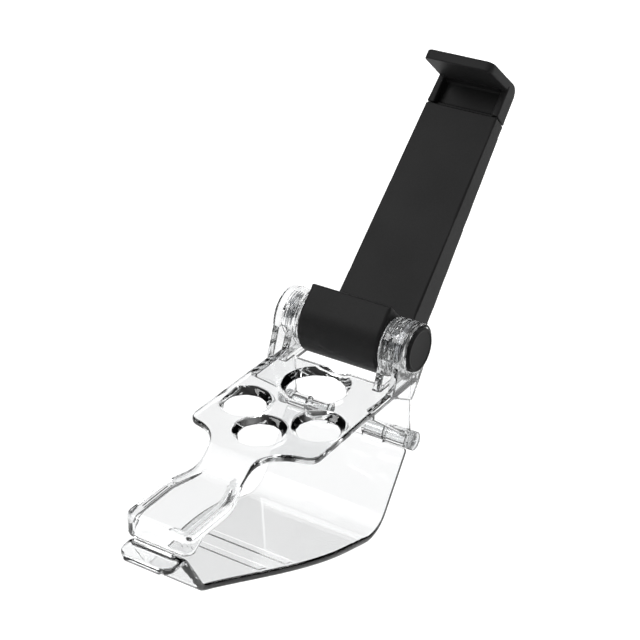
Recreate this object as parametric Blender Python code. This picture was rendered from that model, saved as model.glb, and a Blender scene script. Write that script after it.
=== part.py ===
"""Controller phone clip: a clear two-part clamp, a barrel hinge and a telescopic phone arm.

Lengths are in millimetres and become metres in add_mesh. The origin lies on the underside of the
clear top plate, midway between its left and right finger holes. +X is the clip's right, +Y points
back to the phone, +Z is the plate's outward normal.
"""

import math

import bmesh
import bpy
from mathutils import Vector

MM = 0.001

# Clearances, and how far a cutting tool runs past what it cuts
gap = 0.3
slide_gap = 0.25
cut_reach = 60.0

# Tilting barrel and the two towers that carry it
axis_y = 35.2
axis_z = 10.0
barrel_radius = 9.3
barrel_half_length = 12.5
tower_radius = 7.9
tower_forward = 1.5
drum_inner_face = barrel_half_length + gap
drum_shoulder = 0.8
leg_inner_face = drum_inner_face + drum_shoulder
drum_step = 0.2
tower_inner_wall = 2.3
tower_width = 6.4
tower_outer_face = leg_inner_face + tower_width
tower_outer_wall = 2.0
drum_band = 1.8
drum_back_angle = -30.0
tower_foot_front = 22.4
tower_foot_back = 37.9
tower_boss_radius = 5.2

# Clear top plate: a flat plate, an S-shaped waist and a lower tongue with down-turned edges
plate_thickness = 2.0
tower_proud = 0.6
plate_half_width = tower_outer_face - tower_proud
plate_back = 26.5
shoulder_start = -11.0
shoulder_radius = 3.5
shoulder_sweep = 80.0
waist_half_width = 7.0
waist_place = -25.0
tongue_half_width = 9.8
tongue_start = -38.0
tongue_front = -53.4
tongue_corner_radius = 3.0
tongue_drop = 3.4
drop_start = -19.0
drop_end = -31.0
edge_wall = 1.8
edge_drop = 1.6
edge_start = -26.5
edge_run = 8.0
nose_bottom = -7.55
nose_radius = 1.8

# Through-holes over the controller's centre buttons
finger_hole_radius = 5.5
finger_rim_radius = 7.2
finger_hole_spread = 11.4
front_hole_place = -9.7
home_hole_radius = 7.8
home_rim_radius = 9.4
home_hole_place = 16.5

# Side cheeks and the bottom hinge
hinge_y = 32.5
hinge_z = -16.8
cheek_thickness = 2.0
cheek_front = 14.0
cheek_back = 33.0
cheek_lip = 1.2
cheek_foot_angle = 135.0
sleeve_radius = 2.6
sleeve_length = 6.8
pin_radius = 1.25
pin_head_radius = 2.7
pin_head_length = 1.9
pin_head_teeth = 10
pin_head_tooth = 0.35

# Clear bottom shell: one band bent round the controller's underside
shell_thickness = 2.0
shell_half_width = plate_half_width
shell_front_half_width = 8.5
shell_taper_start = 2.0
shell_wall_top = (31.0, -20.3)
shell_back_corner = (17.0, -39.2)
shell_back_radius = 9.0
shell_front_corner = (-46.4, -20.7)
shell_front_radius = 3.0
tab_corner = (-52.9, -8.9)
tab_corner_radius = 1.6
tab_front = -58.4
tab_half_width = 8.0
tab_round = 2.6
knuckle_radius = 2.3
knuckle_inner = 5.5
grip_bar_count = 2
grip_bar_pitch = 8.3
grip_bar_width = 2.9
grip_bar_height = 0.4
grip_bar_place = -23.1
grip_bar_half_length = 12.8
latch_bar_half_width = 6.0
latch_bar_depth = 1.1
latch_bar_height = 1.3

# Phone arm, in its own frame: origin on the barrel's axis, +Z along the arm, -Y towards the phone
arm_lean = 46.8
shelf_height = 6.75
lip_chamfer = 0.4
arm_front = 6.1
arm_root_half_width = barrel_half_length
arm_side_taper = 1.25
arm_top_half_width = arm_root_half_width - arm_side_taper
arm_root_back = 16.0
arm_top_back = 12.0
sleeve_top = 71.4
arm_bottom_rise = 2.7
arm_bottom = arm_bottom_rise - barrel_radius
arm_bottom_radius = 5.0
front_wall = 1.6
sleeve_side_wall = 1.95
cavity_half_width = arm_top_half_width - sleeve_side_wall
cavity_bottom = 14.0
cover_edge = 1.15
cover_half_width = arm_top_half_width - cover_edge
cover_thickness = 1.1
cover_bottom = 1.0

# Sliding head with the upper hook and its rail
head_gap = 0.3
head_height = 8.3
hook_thickness = 2.9
hook_reach = 13.7
hook_droop = 7.0
head_side_taper = 0.35
head_half_width = arm_top_half_width - head_side_taper
hook_side_taper = 0.3
hook_front_half_width = head_half_width - hook_side_taper
hook_corner_radius = 2.2
head_back_radius = 3.0
pocket_side_wall = 1.7
pocket_half_width = head_half_width - pocket_side_wall
pocket_depth = 2.8
rail_thickness = 2.2
rail_half_width = 3.4
rail_bottom = 26.0
shoulder_bottom = 60.0
head_travel = 16.0

# Springs, pins and screws of the arm
spring_offset = (rail_half_width + cavity_half_width) / 2
spring_mean_radius = 1.0
spring_wire_radius = 0.22
spring_turns = 16
spring_points_per_turn = 7
spring_lead = 2.0
spring_pin_place = 19.0
spring_pin_radius = 0.8
stop_screw_place = 52.0
stop_screw_radius = 0.9
small_head_radius = 1.9
small_head_height = 0.8
cover_screw_place = 6.0
cover_screw_inset = 3.6
cover_screw_offset = cover_half_width - cover_screw_inset
cover_screw_radius = 0.9
cover_screw_length = 5.0

# Clamp screw through the barrel, with its knob, nut, washers and detent discs
screw_radius = 2.0
screw_clearance = 0.3
bushing_wall = 0.6
nut_across_flats = 7.0
nut_thickness = 3.0
disc_thickness = 0.8
disc_inset = 0.2
disc_radius = 6.6
detent_teeth = 24
detent_inner = 5.4
detent_outer = 6.3
detent_height = 0.8
peg_radius = 0.6
peg_offset = 3.9
washer_radius = 4.9
washer_thickness = 0.5
disc_spring_radius = 4.6
disc_spring_thickness = 0.35
disc_spring_rise = 0.4
knob_radius = 6.3
knob_thickness = 2.6
knob_step = 0.25
knob_proud = 0.75
knob_outer_face = tower_outer_face + knob_proud
ring_wall = 0.5
ring_height = 0.1
screw_head_radius = 3.6
screw_head_height = 1.6

for old_object in list(bpy.data.objects):
    bpy.data.objects.remove(old_object, do_unlink=True)


def material(name, color, roughness, metallic=0.0, alpha=1.0):
    """A Principled material in one colour."""
    made = bpy.data.materials.new(name)
    made.use_nodes = True
    shader = made.node_tree.nodes["Principled BSDF"]
    shader.inputs["Base Color"].default_value = (*color, 1.0)
    shader.inputs["Roughness"].default_value = roughness
    shader.inputs["Metallic"].default_value = metallic
    shader.inputs["Alpha"].default_value = alpha
    return made


def clear_plastic(name):
    return material(name, (0.93, 0.95, 0.96), 0.05, alpha=0.35)


def black_plastic(name):
    return material(name, (0.02, 0.02, 0.022), 0.45)


def steel(name):
    return material(name, (0.60, 0.61, 0.63), 0.3, metallic=1.0)


def add_mesh(name, points, faces, look=None, origin=(0.0, 0.0, 0.0), parent=None):
    """A closed mesh object from points in millimetres; without a look it is a hidden tool."""
    base = Vector(origin)
    shape = bmesh.new()
    corners = [shape.verts.new((Vector(point) - base) * MM) for point in points]
    for face in faces:
        shape.faces.new([corners[index] for index in face])
    bmesh.ops.remove_doubles(shape, verts=shape.verts, dist=1e-7)
    bmesh.ops.recalc_face_normals(shape, faces=shape.faces)
    mesh = bpy.data.meshes.new(name)
    shape.to_mesh(mesh)
    shape.free()
    mesh.shade_smooth()
    mesh.set_sharp_from_angle(angle=math.radians(35.0))
    made = bpy.data.objects.new(name, mesh)
    bpy.context.collection.objects.link(made)
    made.location = base * MM
    made.parent = parent
    if look is None:
        made.hide_render = True
        made.display_type = "WIRE"
    else:
        mesh.materials.append(look)
    return made


def loft(name, rings, look=None, closed=False, **placing):
    """Skins rings with equal point counts; the ends are capped unless the loft closes on itself."""
    count = len(rings[0])
    points = [point for ring in rings for point in ring]
    spans = len(rings) if closed else len(rings) - 1
    faces = []
    for span in range(spans):
        start = span * count
        after = (span + 1) % len(rings) * count
        for index in range(count):
            follow = (index + 1) % count
            faces.append((start + index, start + follow, after + follow, after + index))
    if not closed:
        faces.append(tuple(range(count)))
        faces.append(tuple(range(len(points) - count, len(points))))
    return add_mesh(name, points, faces, look, **placing)


def prism(name, outline, axis, low, high, look=None, **placing):
    """Extrudes a flat outline along X (points are y, z), Y (x, z) or Z (x, y)."""
    place = {
        "X": lambda point, depth: (depth, point[0], point[1]),
        "Y": lambda point, depth: (point[0], depth, point[1]),
        "Z": lambda point, depth: (point[0], point[1], depth),
    }[axis]
    rings = [[place(point, depth) for point in outline] for depth in (low, high)]
    return loft(name, rings, look, **placing)


def turned(name, profile, centre, look=None, segments=40, axis="X", hollow=False, **placing):
    """Revolves a profile of (place along the axis, radius) about an X or Y line through centre."""
    rings = []
    for step in range(segments):
        angle = math.tau * step / segments
        cosine = math.cos(angle)
        sine = math.sin(angle)
        if axis == "X":
            ring = [(along, centre[0] + radius * cosine, centre[1] + radius * sine)
                    for along, radius in profile]
        else:
            ring = [(centre[0] + radius * cosine, along, centre[1] + radius * sine)
                    for along, radius in profile]
        rings.append(ring)
    if hollow:
        return loft(name, rings, look, closed=True, **placing)
    count = len(profile)
    points = [point for ring in rings for point in ring]
    faces = []
    for step in range(segments):
        start = step * count
        after = (step + 1) % segments * count
        for index in range(count - 1):
            faces.append((start + index, start + index + 1, after + index + 1, after + index))
    first_cap = tuple(step * count for step in range(segments))
    last_cap = tuple(step * count + count - 1 for step in range(segments))
    faces.append(first_cap)
    faces.append(last_cap)
    return add_mesh(name, points, faces, look, **placing)


def box(name, low, high, look=None, **placing):
    outline = [(low[0], low[1]), (high[0], low[1]), (high[0], high[1]), (low[0], high[1])]
    return prism(name, outline, "Z", low[2], high[2], look, **placing)


def combine(target, operation, *tools):
    """Adds live Boolean modifiers with the exact solver."""
    for tool in tools:
        modifier = target.modifiers.new(tool.name, "BOOLEAN")
        modifier.operation = operation
        modifier.solver = "EXACT"
        modifier.object = tool
    return target


def arc(centre, radius, start, end, steps):
    """Points on a circle from start to end, in degrees."""
    angles = [math.radians(start + (end - start) * step / steps) for step in range(steps + 1)]
    return [(centre[0] + radius * math.cos(angle), centre[1] + radius * math.sin(angle))
            for angle in angles]


def bezier(first, leave, arrive, last, steps):
    """Points on a cubic curve, without its first point."""
    points = []
    for step in range(1, steps + 1):
        t = step / steps
        weights = ((1 - t) ** 3, 3 * t * (1 - t) ** 2, 3 * t * t * (1 - t), t ** 3)
        points.append(tuple(sum(weight * knot[part] for weight, knot
                                in zip(weights, (first, leave, arrive, last))) for part in (0, 1)))
    return points


def rounded_path(corners, radii, steps=8):
    """An open polyline whose inner corners are replaced by arcs that touch both sides."""
    path = [Vector(corners[0])]
    for index in range(1, len(corners) - 1):
        corner = Vector(corners[index])
        back = (Vector(corners[index - 1]) - corner).normalized()
        ahead = (Vector(corners[index + 1]) - corner).normalized()
        half = back.angle(ahead) / 2
        radius = radii[index - 1]
        centre = corner + (back + ahead).normalized() * (radius / math.sin(half))
        start = corner + back * (radius / math.tan(half)) - centre
        turn = start.angle_signed(corner + ahead * (radius / math.tan(half)) - centre)
        first_angle = math.atan2(start.y, start.x)
        for step in range(steps + 1):
            angle = first_angle - turn * step / steps
            path.append(centre + radius * Vector((math.cos(angle), math.sin(angle))))
    path.append(Vector(corners[-1]))
    return path


def mirrored(half):
    """Closes a right-hand half outline with its mirror image in X."""
    return half + [(-x, y) for x, y in reversed(half)]


# Top plate, its tongue and its two hinge towers are one clear moulding


def plate_plan(inset):
    """Plan outline of the plate and tongue, moved inwards by inset; the half runs back to front."""
    width = plate_half_width - inset
    back_corner = (width, tower_foot_back - 2.0 - inset)
    centre = (plate_half_width - shoulder_radius, shoulder_start)
    shoulder = arc(centre, shoulder_radius - inset, 0.0, -shoulder_sweep, 6)
    waist = (waist_half_width - inset, waist_place)
    tongue = (tongue_half_width - inset, tongue_start)
    leave = (shoulder[-1][0] - 5.0, shoulder[-1][1] - 0.9)
    arrive = (waist[0] + 0.2, waist[1] + 6.5)
    half = [back_corner] + shoulder
    half += bezier(shoulder[-1], leave, arrive, waist, 8)
    half += bezier(waist, (waist[0], waist[1] - 5.0), (tongue[0], tongue[1] + 5.0), tongue, 8)
    corner = (tongue_half_width - tongue_corner_radius, tongue_front + tongue_corner_radius)
    half += arc(corner, tongue_corner_radius - inset, 0.0, -90.0, 5)
    return mirrored(half)


def plate_top_line(inset):
    """Side view of the plate's top face from back to front, lowered by inset."""
    high = plate_thickness - inset
    low = plate_thickness - tongue_drop - inset
    middle = (drop_start + drop_end) / 2
    sink = bezier((drop_start, high), (middle, high), (middle, low), (drop_end, low), 8)
    return [(tower_foot_back + 5.0, high), (drop_start, high)] + sink


def nose_line(inset):
    front = tongue_front + inset
    low = plate_thickness - tongue_drop - inset
    radius = nose_radius - inset * 0.5
    return arc((front + radius, low - radius), radius, 90.0, 180.0, 5)


clear_top = clear_plastic("clear_top")
top_plate = prism("top_plate", plate_plan(0.0), "Z", -cut_reach, cut_reach, clear_top)
edge_low = -tongue_drop - edge_drop
underside = [point for point in plate_top_line(plate_thickness) if point[0] > edge_start]
edge_root = underside[-1]
edge_full = edge_root[0] - edge_run
side_outline = plate_top_line(0.0) + nose_line(0.0)
side_outline += [(tongue_front, nose_bottom), (tongue_front + 2.5, nose_bottom)]
side_outline += [(tongue_front + 6.5, edge_low), (edge_full, edge_low)]
side_outline += bezier((edge_full, edge_low), (edge_full + edge_run / 2, edge_low),
                       (edge_root[0] - edge_run / 3, edge_root[1] - edge_drop), edge_root, 6)
side_outline += underside[-2::-1]
plate_side = prism("plate_side", side_outline, "X", -cut_reach, cut_reach)

hollow = prism("plate_hollow", plate_plan(edge_wall), "Z", -cut_reach, cut_reach)
hollow_outline = plate_top_line(plate_thickness) + nose_line(plate_thickness)
hollow_outline = [point for point in hollow_outline if point[0] < edge_root[0] - 0.5]
hollow_outline += [(tongue_front + edge_wall, -cut_reach), (hollow_outline[0][0], -cut_reach)]
hollow_side = prism("hollow_side", hollow_outline, "X", -cut_reach, cut_reach)
combine(hollow, "INTERSECT", hollow_side)

back_notch = box("back_notch", (-leg_inner_face, plate_back, -5.0),
                 (leg_inner_face, tower_foot_back + 2.0, plate_thickness + 3.0))
combine(top_plate, "INTERSECT", plate_side)
combine(top_plate, "DIFFERENCE", hollow, back_notch)

tower_axis = (axis_y, axis_z)
drum_centre = (axis_y - tower_forward, axis_z)
front_contact = 180.0
wall_outline = [(tower_foot_front, plate_thickness - 0.4)]
wall_outline += arc(drum_centre, tower_radius, front_contact, drum_back_angle, 26)
wall_outline += [(tower_foot_back, plate_thickness - 0.4)]
outer_outline = wall_outline[:-1] + [(tower_foot_back, plate_thickness - 0.2),
                                     (tower_foot_back - 2.5, -1.5), (cheek_back, -4.5)]
band_outline = arc(drum_centre, tower_radius, front_contact, drum_back_angle, 26)
band_outline += arc(drum_centre, tower_radius - drum_band, drum_back_angle, front_contact, 26)
cheek_outline = [(cheek_back, plate_thickness - 0.5), (cheek_front, plate_thickness - 0.5),
                 (cheek_front, -cheek_lip)]
cheek_outline += arc((hinge_y, hinge_z), sleeve_radius - 0.05, cheek_foot_angle, 60.0, 6)

disc_near = drum_inner_face + disc_inset
disc_far = disc_near + disc_thickness
recess_floor = disc_far + gap
wall_root = leg_inner_face + tower_inner_wall - 0.3

for side, side_name in ((-1, "left"), (1, "right")):
    def along(near, far, side=side):
        """Orders two distances from the middle plane into a low and a high X."""
        return sorted((side * near, side * far))

    outer_wall = prism(f"tower_outer_{side_name}", outer_outline, "X",
                       *along(tower_outer_face - tower_outer_wall, tower_outer_face))
    inner_wall = prism(f"tower_inner_{side_name}", wall_outline, "X",
                       *along(leg_inner_face, leg_inner_face + tower_inner_wall))
    band = prism(f"tower_band_{side_name}", band_outline, "X",
                 *along(leg_inner_face + 0.01, tower_outer_face - 0.01))
    drum_end = tower_outer_face - 0.1 if side > 0 else wall_root - 0.1
    low, high = along(drum_inner_face, drum_end)
    drum = turned(f"tower_drum_{side_name}",
                  [(low, 0.0), (low, tower_radius - drum_step), (high, tower_radius - drum_step),
                   (high, 0.0)], drum_centre, segments=44)
    low, high = along(wall_root - 0.2, tower_outer_face - 0.5)
    boss = turned(f"tower_boss_{side_name}",
                  [(low, 0.0), (low, tower_boss_radius), (high, tower_boss_radius), (high, 0.0)],
                  tower_axis, segments=32)
    cheek = prism(f"cheek_{side_name}", cheek_outline, "X",
                  *along(plate_half_width - cheek_thickness, plate_half_width))
    low, high = along(plate_half_width - sleeve_length, plate_half_width - 0.1)
    sleeve = turned(f"hinge_sleeve_{side_name}",
                    [(low, 0.0), (low, sleeve_radius), (high, sleeve_radius), (high, 0.0)],
                    (hinge_y, hinge_z), segments=24)
    combine(top_plate, "UNION", outer_wall, inner_wall, band, drum, boss, cheek, sleeve)
    for turn, peg_name in ((1, "upper"), (-1, "lower")):
        low, high = along(recess_floor - 0.5, recess_floor + detent_height)
        hole = turned(f"peg_hole_{side_name}_{peg_name}",
                      [(low, 0.0), (low, peg_radius + gap), (high, peg_radius + gap), (high, 0.0)],
                      (axis_y, axis_z + turn * peg_offset), segments=16)
        combine(top_plate, "DIFFERENCE", hole)

knob_start = knob_outer_face - knob_thickness
cone_start = knob_start - 0.15 - disc_spring_rise - disc_spring_thickness
washer_start = cone_start - 0.1 - washer_thickness
cup_floor = washer_start - 0.15
ring_outer = knob_radius + gap + ring_wall
ring_end = tower_outer_face + ring_height
knob_cup = turned("knob_cup", [(wall_root, 0.0), (wall_root, ring_outer),
                               (ring_end, ring_outer), (ring_end, 0.0)],
                  tower_axis, segments=48)
combine(top_plate, "UNION", knob_cup)

bore_radius = screw_radius + screw_clearance
groove_floor = recess_floor + detent_height
seat_step = [(recess_floor, bore_radius), (recess_floor, detent_inner - gap),
             (groove_floor, detent_inner - gap), (groove_floor, detent_outer + gap),
             (recess_floor, detent_outer + gap), (recess_floor, disc_radius + gap)]
axis_profile = [(-cut_reach, 0.0), (-cut_reach, bore_radius)]
axis_profile += [(-along_axis, radius) for along_axis, radius in seat_step]
axis_profile += seat_step[::-1]
axis_profile += [(cup_floor, bore_radius), (cup_floor, knob_radius + gap),
                 (ring_end + 1.0, knob_radius + gap), (ring_end + 1.0, 0.0)]
bore = turned("pivot_bore", axis_profile, tower_axis, segments=44)
nut_corner = (nut_across_flats / 2 + gap) / math.cos(math.pi / 6)
nut_floor = tower_outer_face - nut_thickness - gap
nut_pocket = turned("nut_pocket", [(-cut_reach, 0.0), (-cut_reach, nut_corner),
                                   (-nut_floor, nut_corner), (-nut_floor, 0.0)],
                    tower_axis, segments=6)
pin_bore_radius = pin_radius + 0.1
pin_bore = turned("pin_bore", [(-cut_reach, 0.0), (-cut_reach, pin_bore_radius),
                               (cut_reach, pin_bore_radius), (cut_reach, 0.0)],
                  (hinge_y, hinge_z), segments=24)
combine(top_plate, "DIFFERENCE", bore, nut_pocket, pin_bore)


def dished_hole(name, x, y, hole_radius, rim_radius):
    """A hole with a conical dish: narrow at the underside, wide at the top face."""
    slope = (rim_radius - hole_radius) / plate_thickness
    rings = []
    for height in (-1.0, 0.2, plate_thickness, plate_thickness + 1.0):
        radius = hole_radius + slope * max(height - 0.2, 0.0)
        angles = [math.tau * step / 36 for step in range(36)]
        rings.append([(x + radius * math.cos(angle), y + radius * math.sin(angle), height)
                      for angle in angles])
    return loft(name, rings)


finger_holes = [("hole_left", -finger_hole_spread, 0.0), ("hole_right", finger_hole_spread, 0.0),
                ("hole_front", 0.0, front_hole_place)]
for hole_name, hole_x, hole_y in finger_holes:
    combine(top_plate, "DIFFERENCE",
            dished_hole(hole_name, hole_x, hole_y, finger_hole_radius, finger_rim_radius))
combine(top_plate, "DIFFERENCE",
        dished_hole("hole_home", 0.0, home_hole_place, home_hole_radius, home_rim_radius))


# Bottom shell: a band bent along a path in side view, narrowing to the front latch


def shell_half_width_at(y):
    """19.4 mm at the back, then a sine curve down to the front wall's half width."""
    if y > shell_taper_start:
        return shell_half_width
    share = max(y - shell_front_corner[0], 0.0) / (shell_taper_start - shell_front_corner[0])
    rise = math.sin(math.pi / 2 * share) ** 1.2
    return shell_front_half_width + (shell_half_width - shell_front_half_width) * rise


def tab_half_width_at(y):
    """The finger tab's half width, with round front corners."""
    reach = max(tab_front + tab_round - y, 0.0)
    return tab_half_width - tab_round + math.sqrt(max(tab_round ** 2 - reach ** 2, 0.04))


tab_end = (tab_front, tab_corner[1] - 0.3)
shell_path = rounded_path([shell_wall_top, shell_back_corner, shell_front_corner, tab_corner,
                           tab_end], [shell_back_radius, shell_front_radius, tab_corner_radius])
dense_path = []
for start, end in zip(shell_path, shell_path[1:]):
    pieces = max(1, round((end - start).length / 3.0))
    if end.y > tab_corner[1] - 1.0 and end.x < tab_corner[0] - 2.0:
        pieces = 8
    dense_path += [start.lerp(end, step / pieces) for step in range(pieces)]
dense_path.append(shell_path[-1])
shell_rings = []
for index, point in enumerate(dense_path):
    before = dense_path[max(index - 1, 0)]
    after = dense_path[min(index + 1, len(dense_path) - 1)]
    heading = (after - before).normalized()
    normal = Vector((heading.y, -heading.x)) * (shell_thickness / 2)
    on_tab = point.x < tab_corner[0] - 0.2
    width = tab_half_width_at(point.x) if on_tab else shell_half_width_at(point.x)
    outside = point - normal
    inside = point + normal
    shell_rings.append([(-width, outside.x, outside.y), (width, outside.x, outside.y),
                        (width, inside.x, inside.y), (-width, inside.x, inside.y)])
hinge_origin = (0.0, hinge_y, hinge_z)
bottom_shell = loft("bottom_shell", shell_rings, clear_plastic("clear_bottom"), origin=hinge_origin)

knuckle_outer = plate_half_width - sleeve_length - gap
wall_heading = (Vector(shell_wall_top) - Vector(shell_back_corner)).normalized()
wall_side = Vector((wall_heading.y, -wall_heading.x)) * (shell_thickness / 2 - 0.02)
wall_start = Vector(shell_wall_top) - wall_heading * 1.0
for side, side_name in ((-1, "left"), (1, "right")):
    low, high = sorted((side * knuckle_inner, side * knuckle_outer))
    knuckle = turned(f"knuckle_{side_name}",
                     [(low, 0.0), (low, knuckle_radius), (high, knuckle_radius), (high, 0.0)],
                     (hinge_y, hinge_z), segments=24)
    hinge_point = Vector((hinge_y, hinge_z))
    neck_outline = [wall_start - wall_side, wall_start + wall_side, hinge_point + wall_side,
                    hinge_point - wall_side]
    neck = prism(f"knuckle_neck_{side_name}", neck_outline, "X", low + 0.05, high - 0.05)
    combine(bottom_shell, "UNION", knuckle, neck)
shell_bore_radius = pin_radius + gap
shell_bore = turned("shell_bore", [(-cut_reach, 0.0), (-cut_reach, shell_bore_radius),
                                   (cut_reach, shell_bore_radius), (cut_reach, 0.0)],
                    (hinge_y, hinge_z), segments=24)
combine(bottom_shell, "DIFFERENCE", shell_bore)

slope = (Vector(shell_front_corner) - Vector(shell_back_corner)).normalized()
lift = Vector((-slope.y, slope.x)) * -1.0
floor_anchor = Vector(shell_back_corner)
for index in range(grip_bar_count):
    place = grip_bar_place + (index - (grip_bar_count - 1) / 2) * grip_bar_pitch
    distance = (floor_anchor.x - place) / -slope.x
    foot = floor_anchor + slope * distance + lift * (shell_thickness / 2 - 0.2)
    crest = foot + lift * (grip_bar_height + 0.2)
    half_foot = slope * (grip_bar_width / 2)
    half_crest = slope * (grip_bar_width / 2 - grip_bar_height)
    outline = [foot + half_foot, foot - half_foot, crest - half_crest, crest + half_crest]
    grip_bar = prism(f"grip_bar_{index + 1}", outline, "X", -grip_bar_half_length,
                     grip_bar_half_length)
    combine(bottom_shell, "UNION", grip_bar)

tab_top = tab_corner[1] + shell_thickness / 2
latch_low = tab_top - 0.6
latch_bar = box("latch_bar", (-latch_bar_half_width, tongue_front - gap - latch_bar_depth, latch_low),
                (latch_bar_half_width, tongue_front - gap, tab_top + latch_bar_height))
combine(bottom_shell, "UNION", latch_bar)

# Hinge pins: one for each side, a plain shaft through sleeve and knuckle with a serrated head outside

pin_inner = knuckle_inner - 0.6
pin_outer = plate_half_width + gap
serration = []
for step in range(pin_head_teeth):
    for share, radius in ((0.0, pin_head_radius - pin_head_tooth), (0.3, pin_head_radius),
                          (0.7, pin_head_radius)):
        angle = math.tau * (step + share) / pin_head_teeth
        serration.append((hinge_y + radius * math.cos(angle), hinge_z + radius * math.sin(angle)))
for side, side_name in ((-1, "left"), (1, "right")):
    profile = [(side * pin_inner, 0.0), (side * pin_inner, pin_radius),
               (side * pin_outer, pin_radius), (side * pin_outer, pin_head_radius * 0.9),
               (side * (pin_outer + pin_head_length - 0.4), pin_head_radius * 0.9),
               (side * (pin_outer + pin_head_length), pin_head_radius * 0.7),
               (side * (pin_outer + pin_head_length), 0.0)]
    if side < 0:
        profile.reverse()
    hinge_pin = turned(f"hinge_pin_{side_name}", profile, (hinge_y, hinge_z),
                       clear_plastic(f"clear_pin_{side_name}"), segments=16, origin=hinge_origin)
    low, high = sorted((side * (pin_outer + 0.05), side * (pin_outer + pin_head_length - 0.5)))
    pin_teeth = prism(f"pin_teeth_{side_name}", serration, "X", low, high)
    combine(hinge_pin, "UNION", pin_teeth)

# Detent discs: clear toothed rings keyed to the towers by two pegs


def toothed_ring(side):
    """One closed comb outline of the teeth, turned into separate blocks on the disc."""
    blocks = []
    low, high = sorted((side * (disc_far - 0.2), side * (disc_far + detent_height)))
    for step in range(detent_teeth):
        middle = 360.0 * step / detent_teeth
        half = 360.0 / detent_teeth / 4
        outline = arc(tower_axis, detent_inner, middle - half, middle + half, 1)
        outline += arc(tower_axis, detent_outer, middle + half, middle - half, 1)
        blocks.append((outline, low, high))
    return blocks


for side, side_name in ((-1, "left"), (1, "right")):
    near = side * disc_near
    far = side * disc_far
    disc = turned(f"detent_disc_{side_name}",
                  [(near, bore_radius), (near, disc_radius), (far, disc_radius),
                   (far, bore_radius)],
                  tower_axis, clear_plastic(f"clear_disc_{side_name}"), hollow=True, segments=48,
                  origin=(0.0, axis_y, axis_z))
    points = []
    faces = []
    for outline, low, high in toothed_ring(side):
        start = len(points)
        points += [(low, y, z) for y, z in outline] + [(high, y, z) for y, z in outline]
        faces += [tuple(start + corner for corner in face) for face in
                  ((0, 1, 2, 3), (4, 5, 6, 7), (0, 1, 5, 4), (1, 2, 6, 5), (2, 3, 7, 6),
                   (3, 0, 4, 7))]
    teeth = add_mesh(f"detent_teeth_{side_name}", points, faces)
    combine(disc, "UNION", teeth)
    for turn, peg_name in ((1, "upper"), (-1, "lower")):
        low, high = sorted((side * (disc_far - 0.2), side * (disc_far + detent_height)))
        peg = turned(f"disc_peg_{side_name}_{peg_name}",
                     [(low, 0.0), (low, peg_radius), (high, peg_radius), (high, 0.0)],
                     (axis_y, axis_z + turn * peg_offset), segments=16)
        combine(disc, "UNION", peg)

# Clamp screw, nut, washers and knob on the barrel's axis

nut_outer = -(tower_outer_face - gap)
nut_radius = nut_across_flats / 2 / math.cos(math.pi / 6)
nut_inner = nut_outer + nut_thickness - gap
lock_nut = turned("lock_nut", [(nut_outer, 0.0), (nut_outer, nut_radius), (nut_inner, nut_radius),
                               (nut_inner, 0.0)], tower_axis, steel("steel_nut"), segments=6)
nut_bore = turned("nut_bore", [(-cut_reach, 0.0), (-cut_reach, screw_radius + 0.15),
                               (0.0, screw_radius + 0.15), (0.0, 0.0)], tower_axis, segments=24)
combine(lock_nut, "DIFFERENCE", nut_bore)

washer_end = washer_start + washer_thickness
knob_washer = turned("knob_washer", [(washer_start, bore_radius), (washer_end, bore_radius),
                                     (washer_end, washer_radius), (washer_start, washer_radius)],
                     tower_axis, steel("steel_washer"), segments=32, hollow=True)
disc_spring = turned("disc_spring",
                     [(cone_start + disc_spring_rise, bore_radius),
                      (cone_start + disc_spring_rise + disc_spring_thickness, bore_radius),
                      (cone_start + disc_spring_thickness, disc_spring_radius),
                      (cone_start, disc_spring_radius)],
                     tower_axis, steel("steel_spring_washer"), segments=32, hollow=True)
knob_end = knob_outer_face
head_start = knob_start + 0.4
head_end = head_start + screw_head_height
knob = turned("knob", [(knob_start, screw_radius + gap), (knob_start, knob_radius - knob_step),
                       (knob_start + 0.4, knob_radius), (knob_end - 0.9, knob_radius),
                       (knob_end - 0.6, knob_radius - knob_step),
                       (knob_end - 0.2, knob_radius - knob_step),
                       (knob_end, knob_radius - knob_step - 0.2), (knob_end, 0.0),
                       (head_end + gap, 0.0), (head_end + gap, screw_head_radius + gap),
                       (head_start - gap, screw_head_radius + gap),
                       (head_start - gap, screw_radius + gap)],
              tower_axis, black_plastic("black_knob"), segments=48, hollow=True,
              origin=(0.0, axis_y, axis_z))
clamp_screw = turned("clamp_screw", [(nut_outer - 0.5, 0.0), (nut_outer - 0.5, screw_radius - 0.3),
                                     (nut_outer - 0.2, screw_radius), (head_start, screw_radius),
                                     (head_start, screw_head_radius),
                                     (head_end, screw_head_radius), (head_end, 0.0)],
                     tower_axis, steel("steel_screw"), segments=24, origin=(0.0, axis_y, axis_z))

# Phone arm: everything below is built in the arm's frame and leans back with this empty

arm_pivot = bpy.data.objects.new("arm_pivot", None)
bpy.context.collection.objects.link(arm_pivot)
arm_pivot.location = Vector((0.0, axis_y, axis_z)) * MM
arm_pivot.rotation_euler = (math.radians(-arm_lean), 0.0, 0.0)


def back_at(z):
    """Y of the sleeve's back face, which thins towards the top."""
    return arm_root_back + (arm_top_back - arm_root_back) * z / sleeve_top


def half_width_at(z):
    return arm_root_half_width + (arm_top_half_width - arm_root_half_width) * z / sleeve_top


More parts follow.
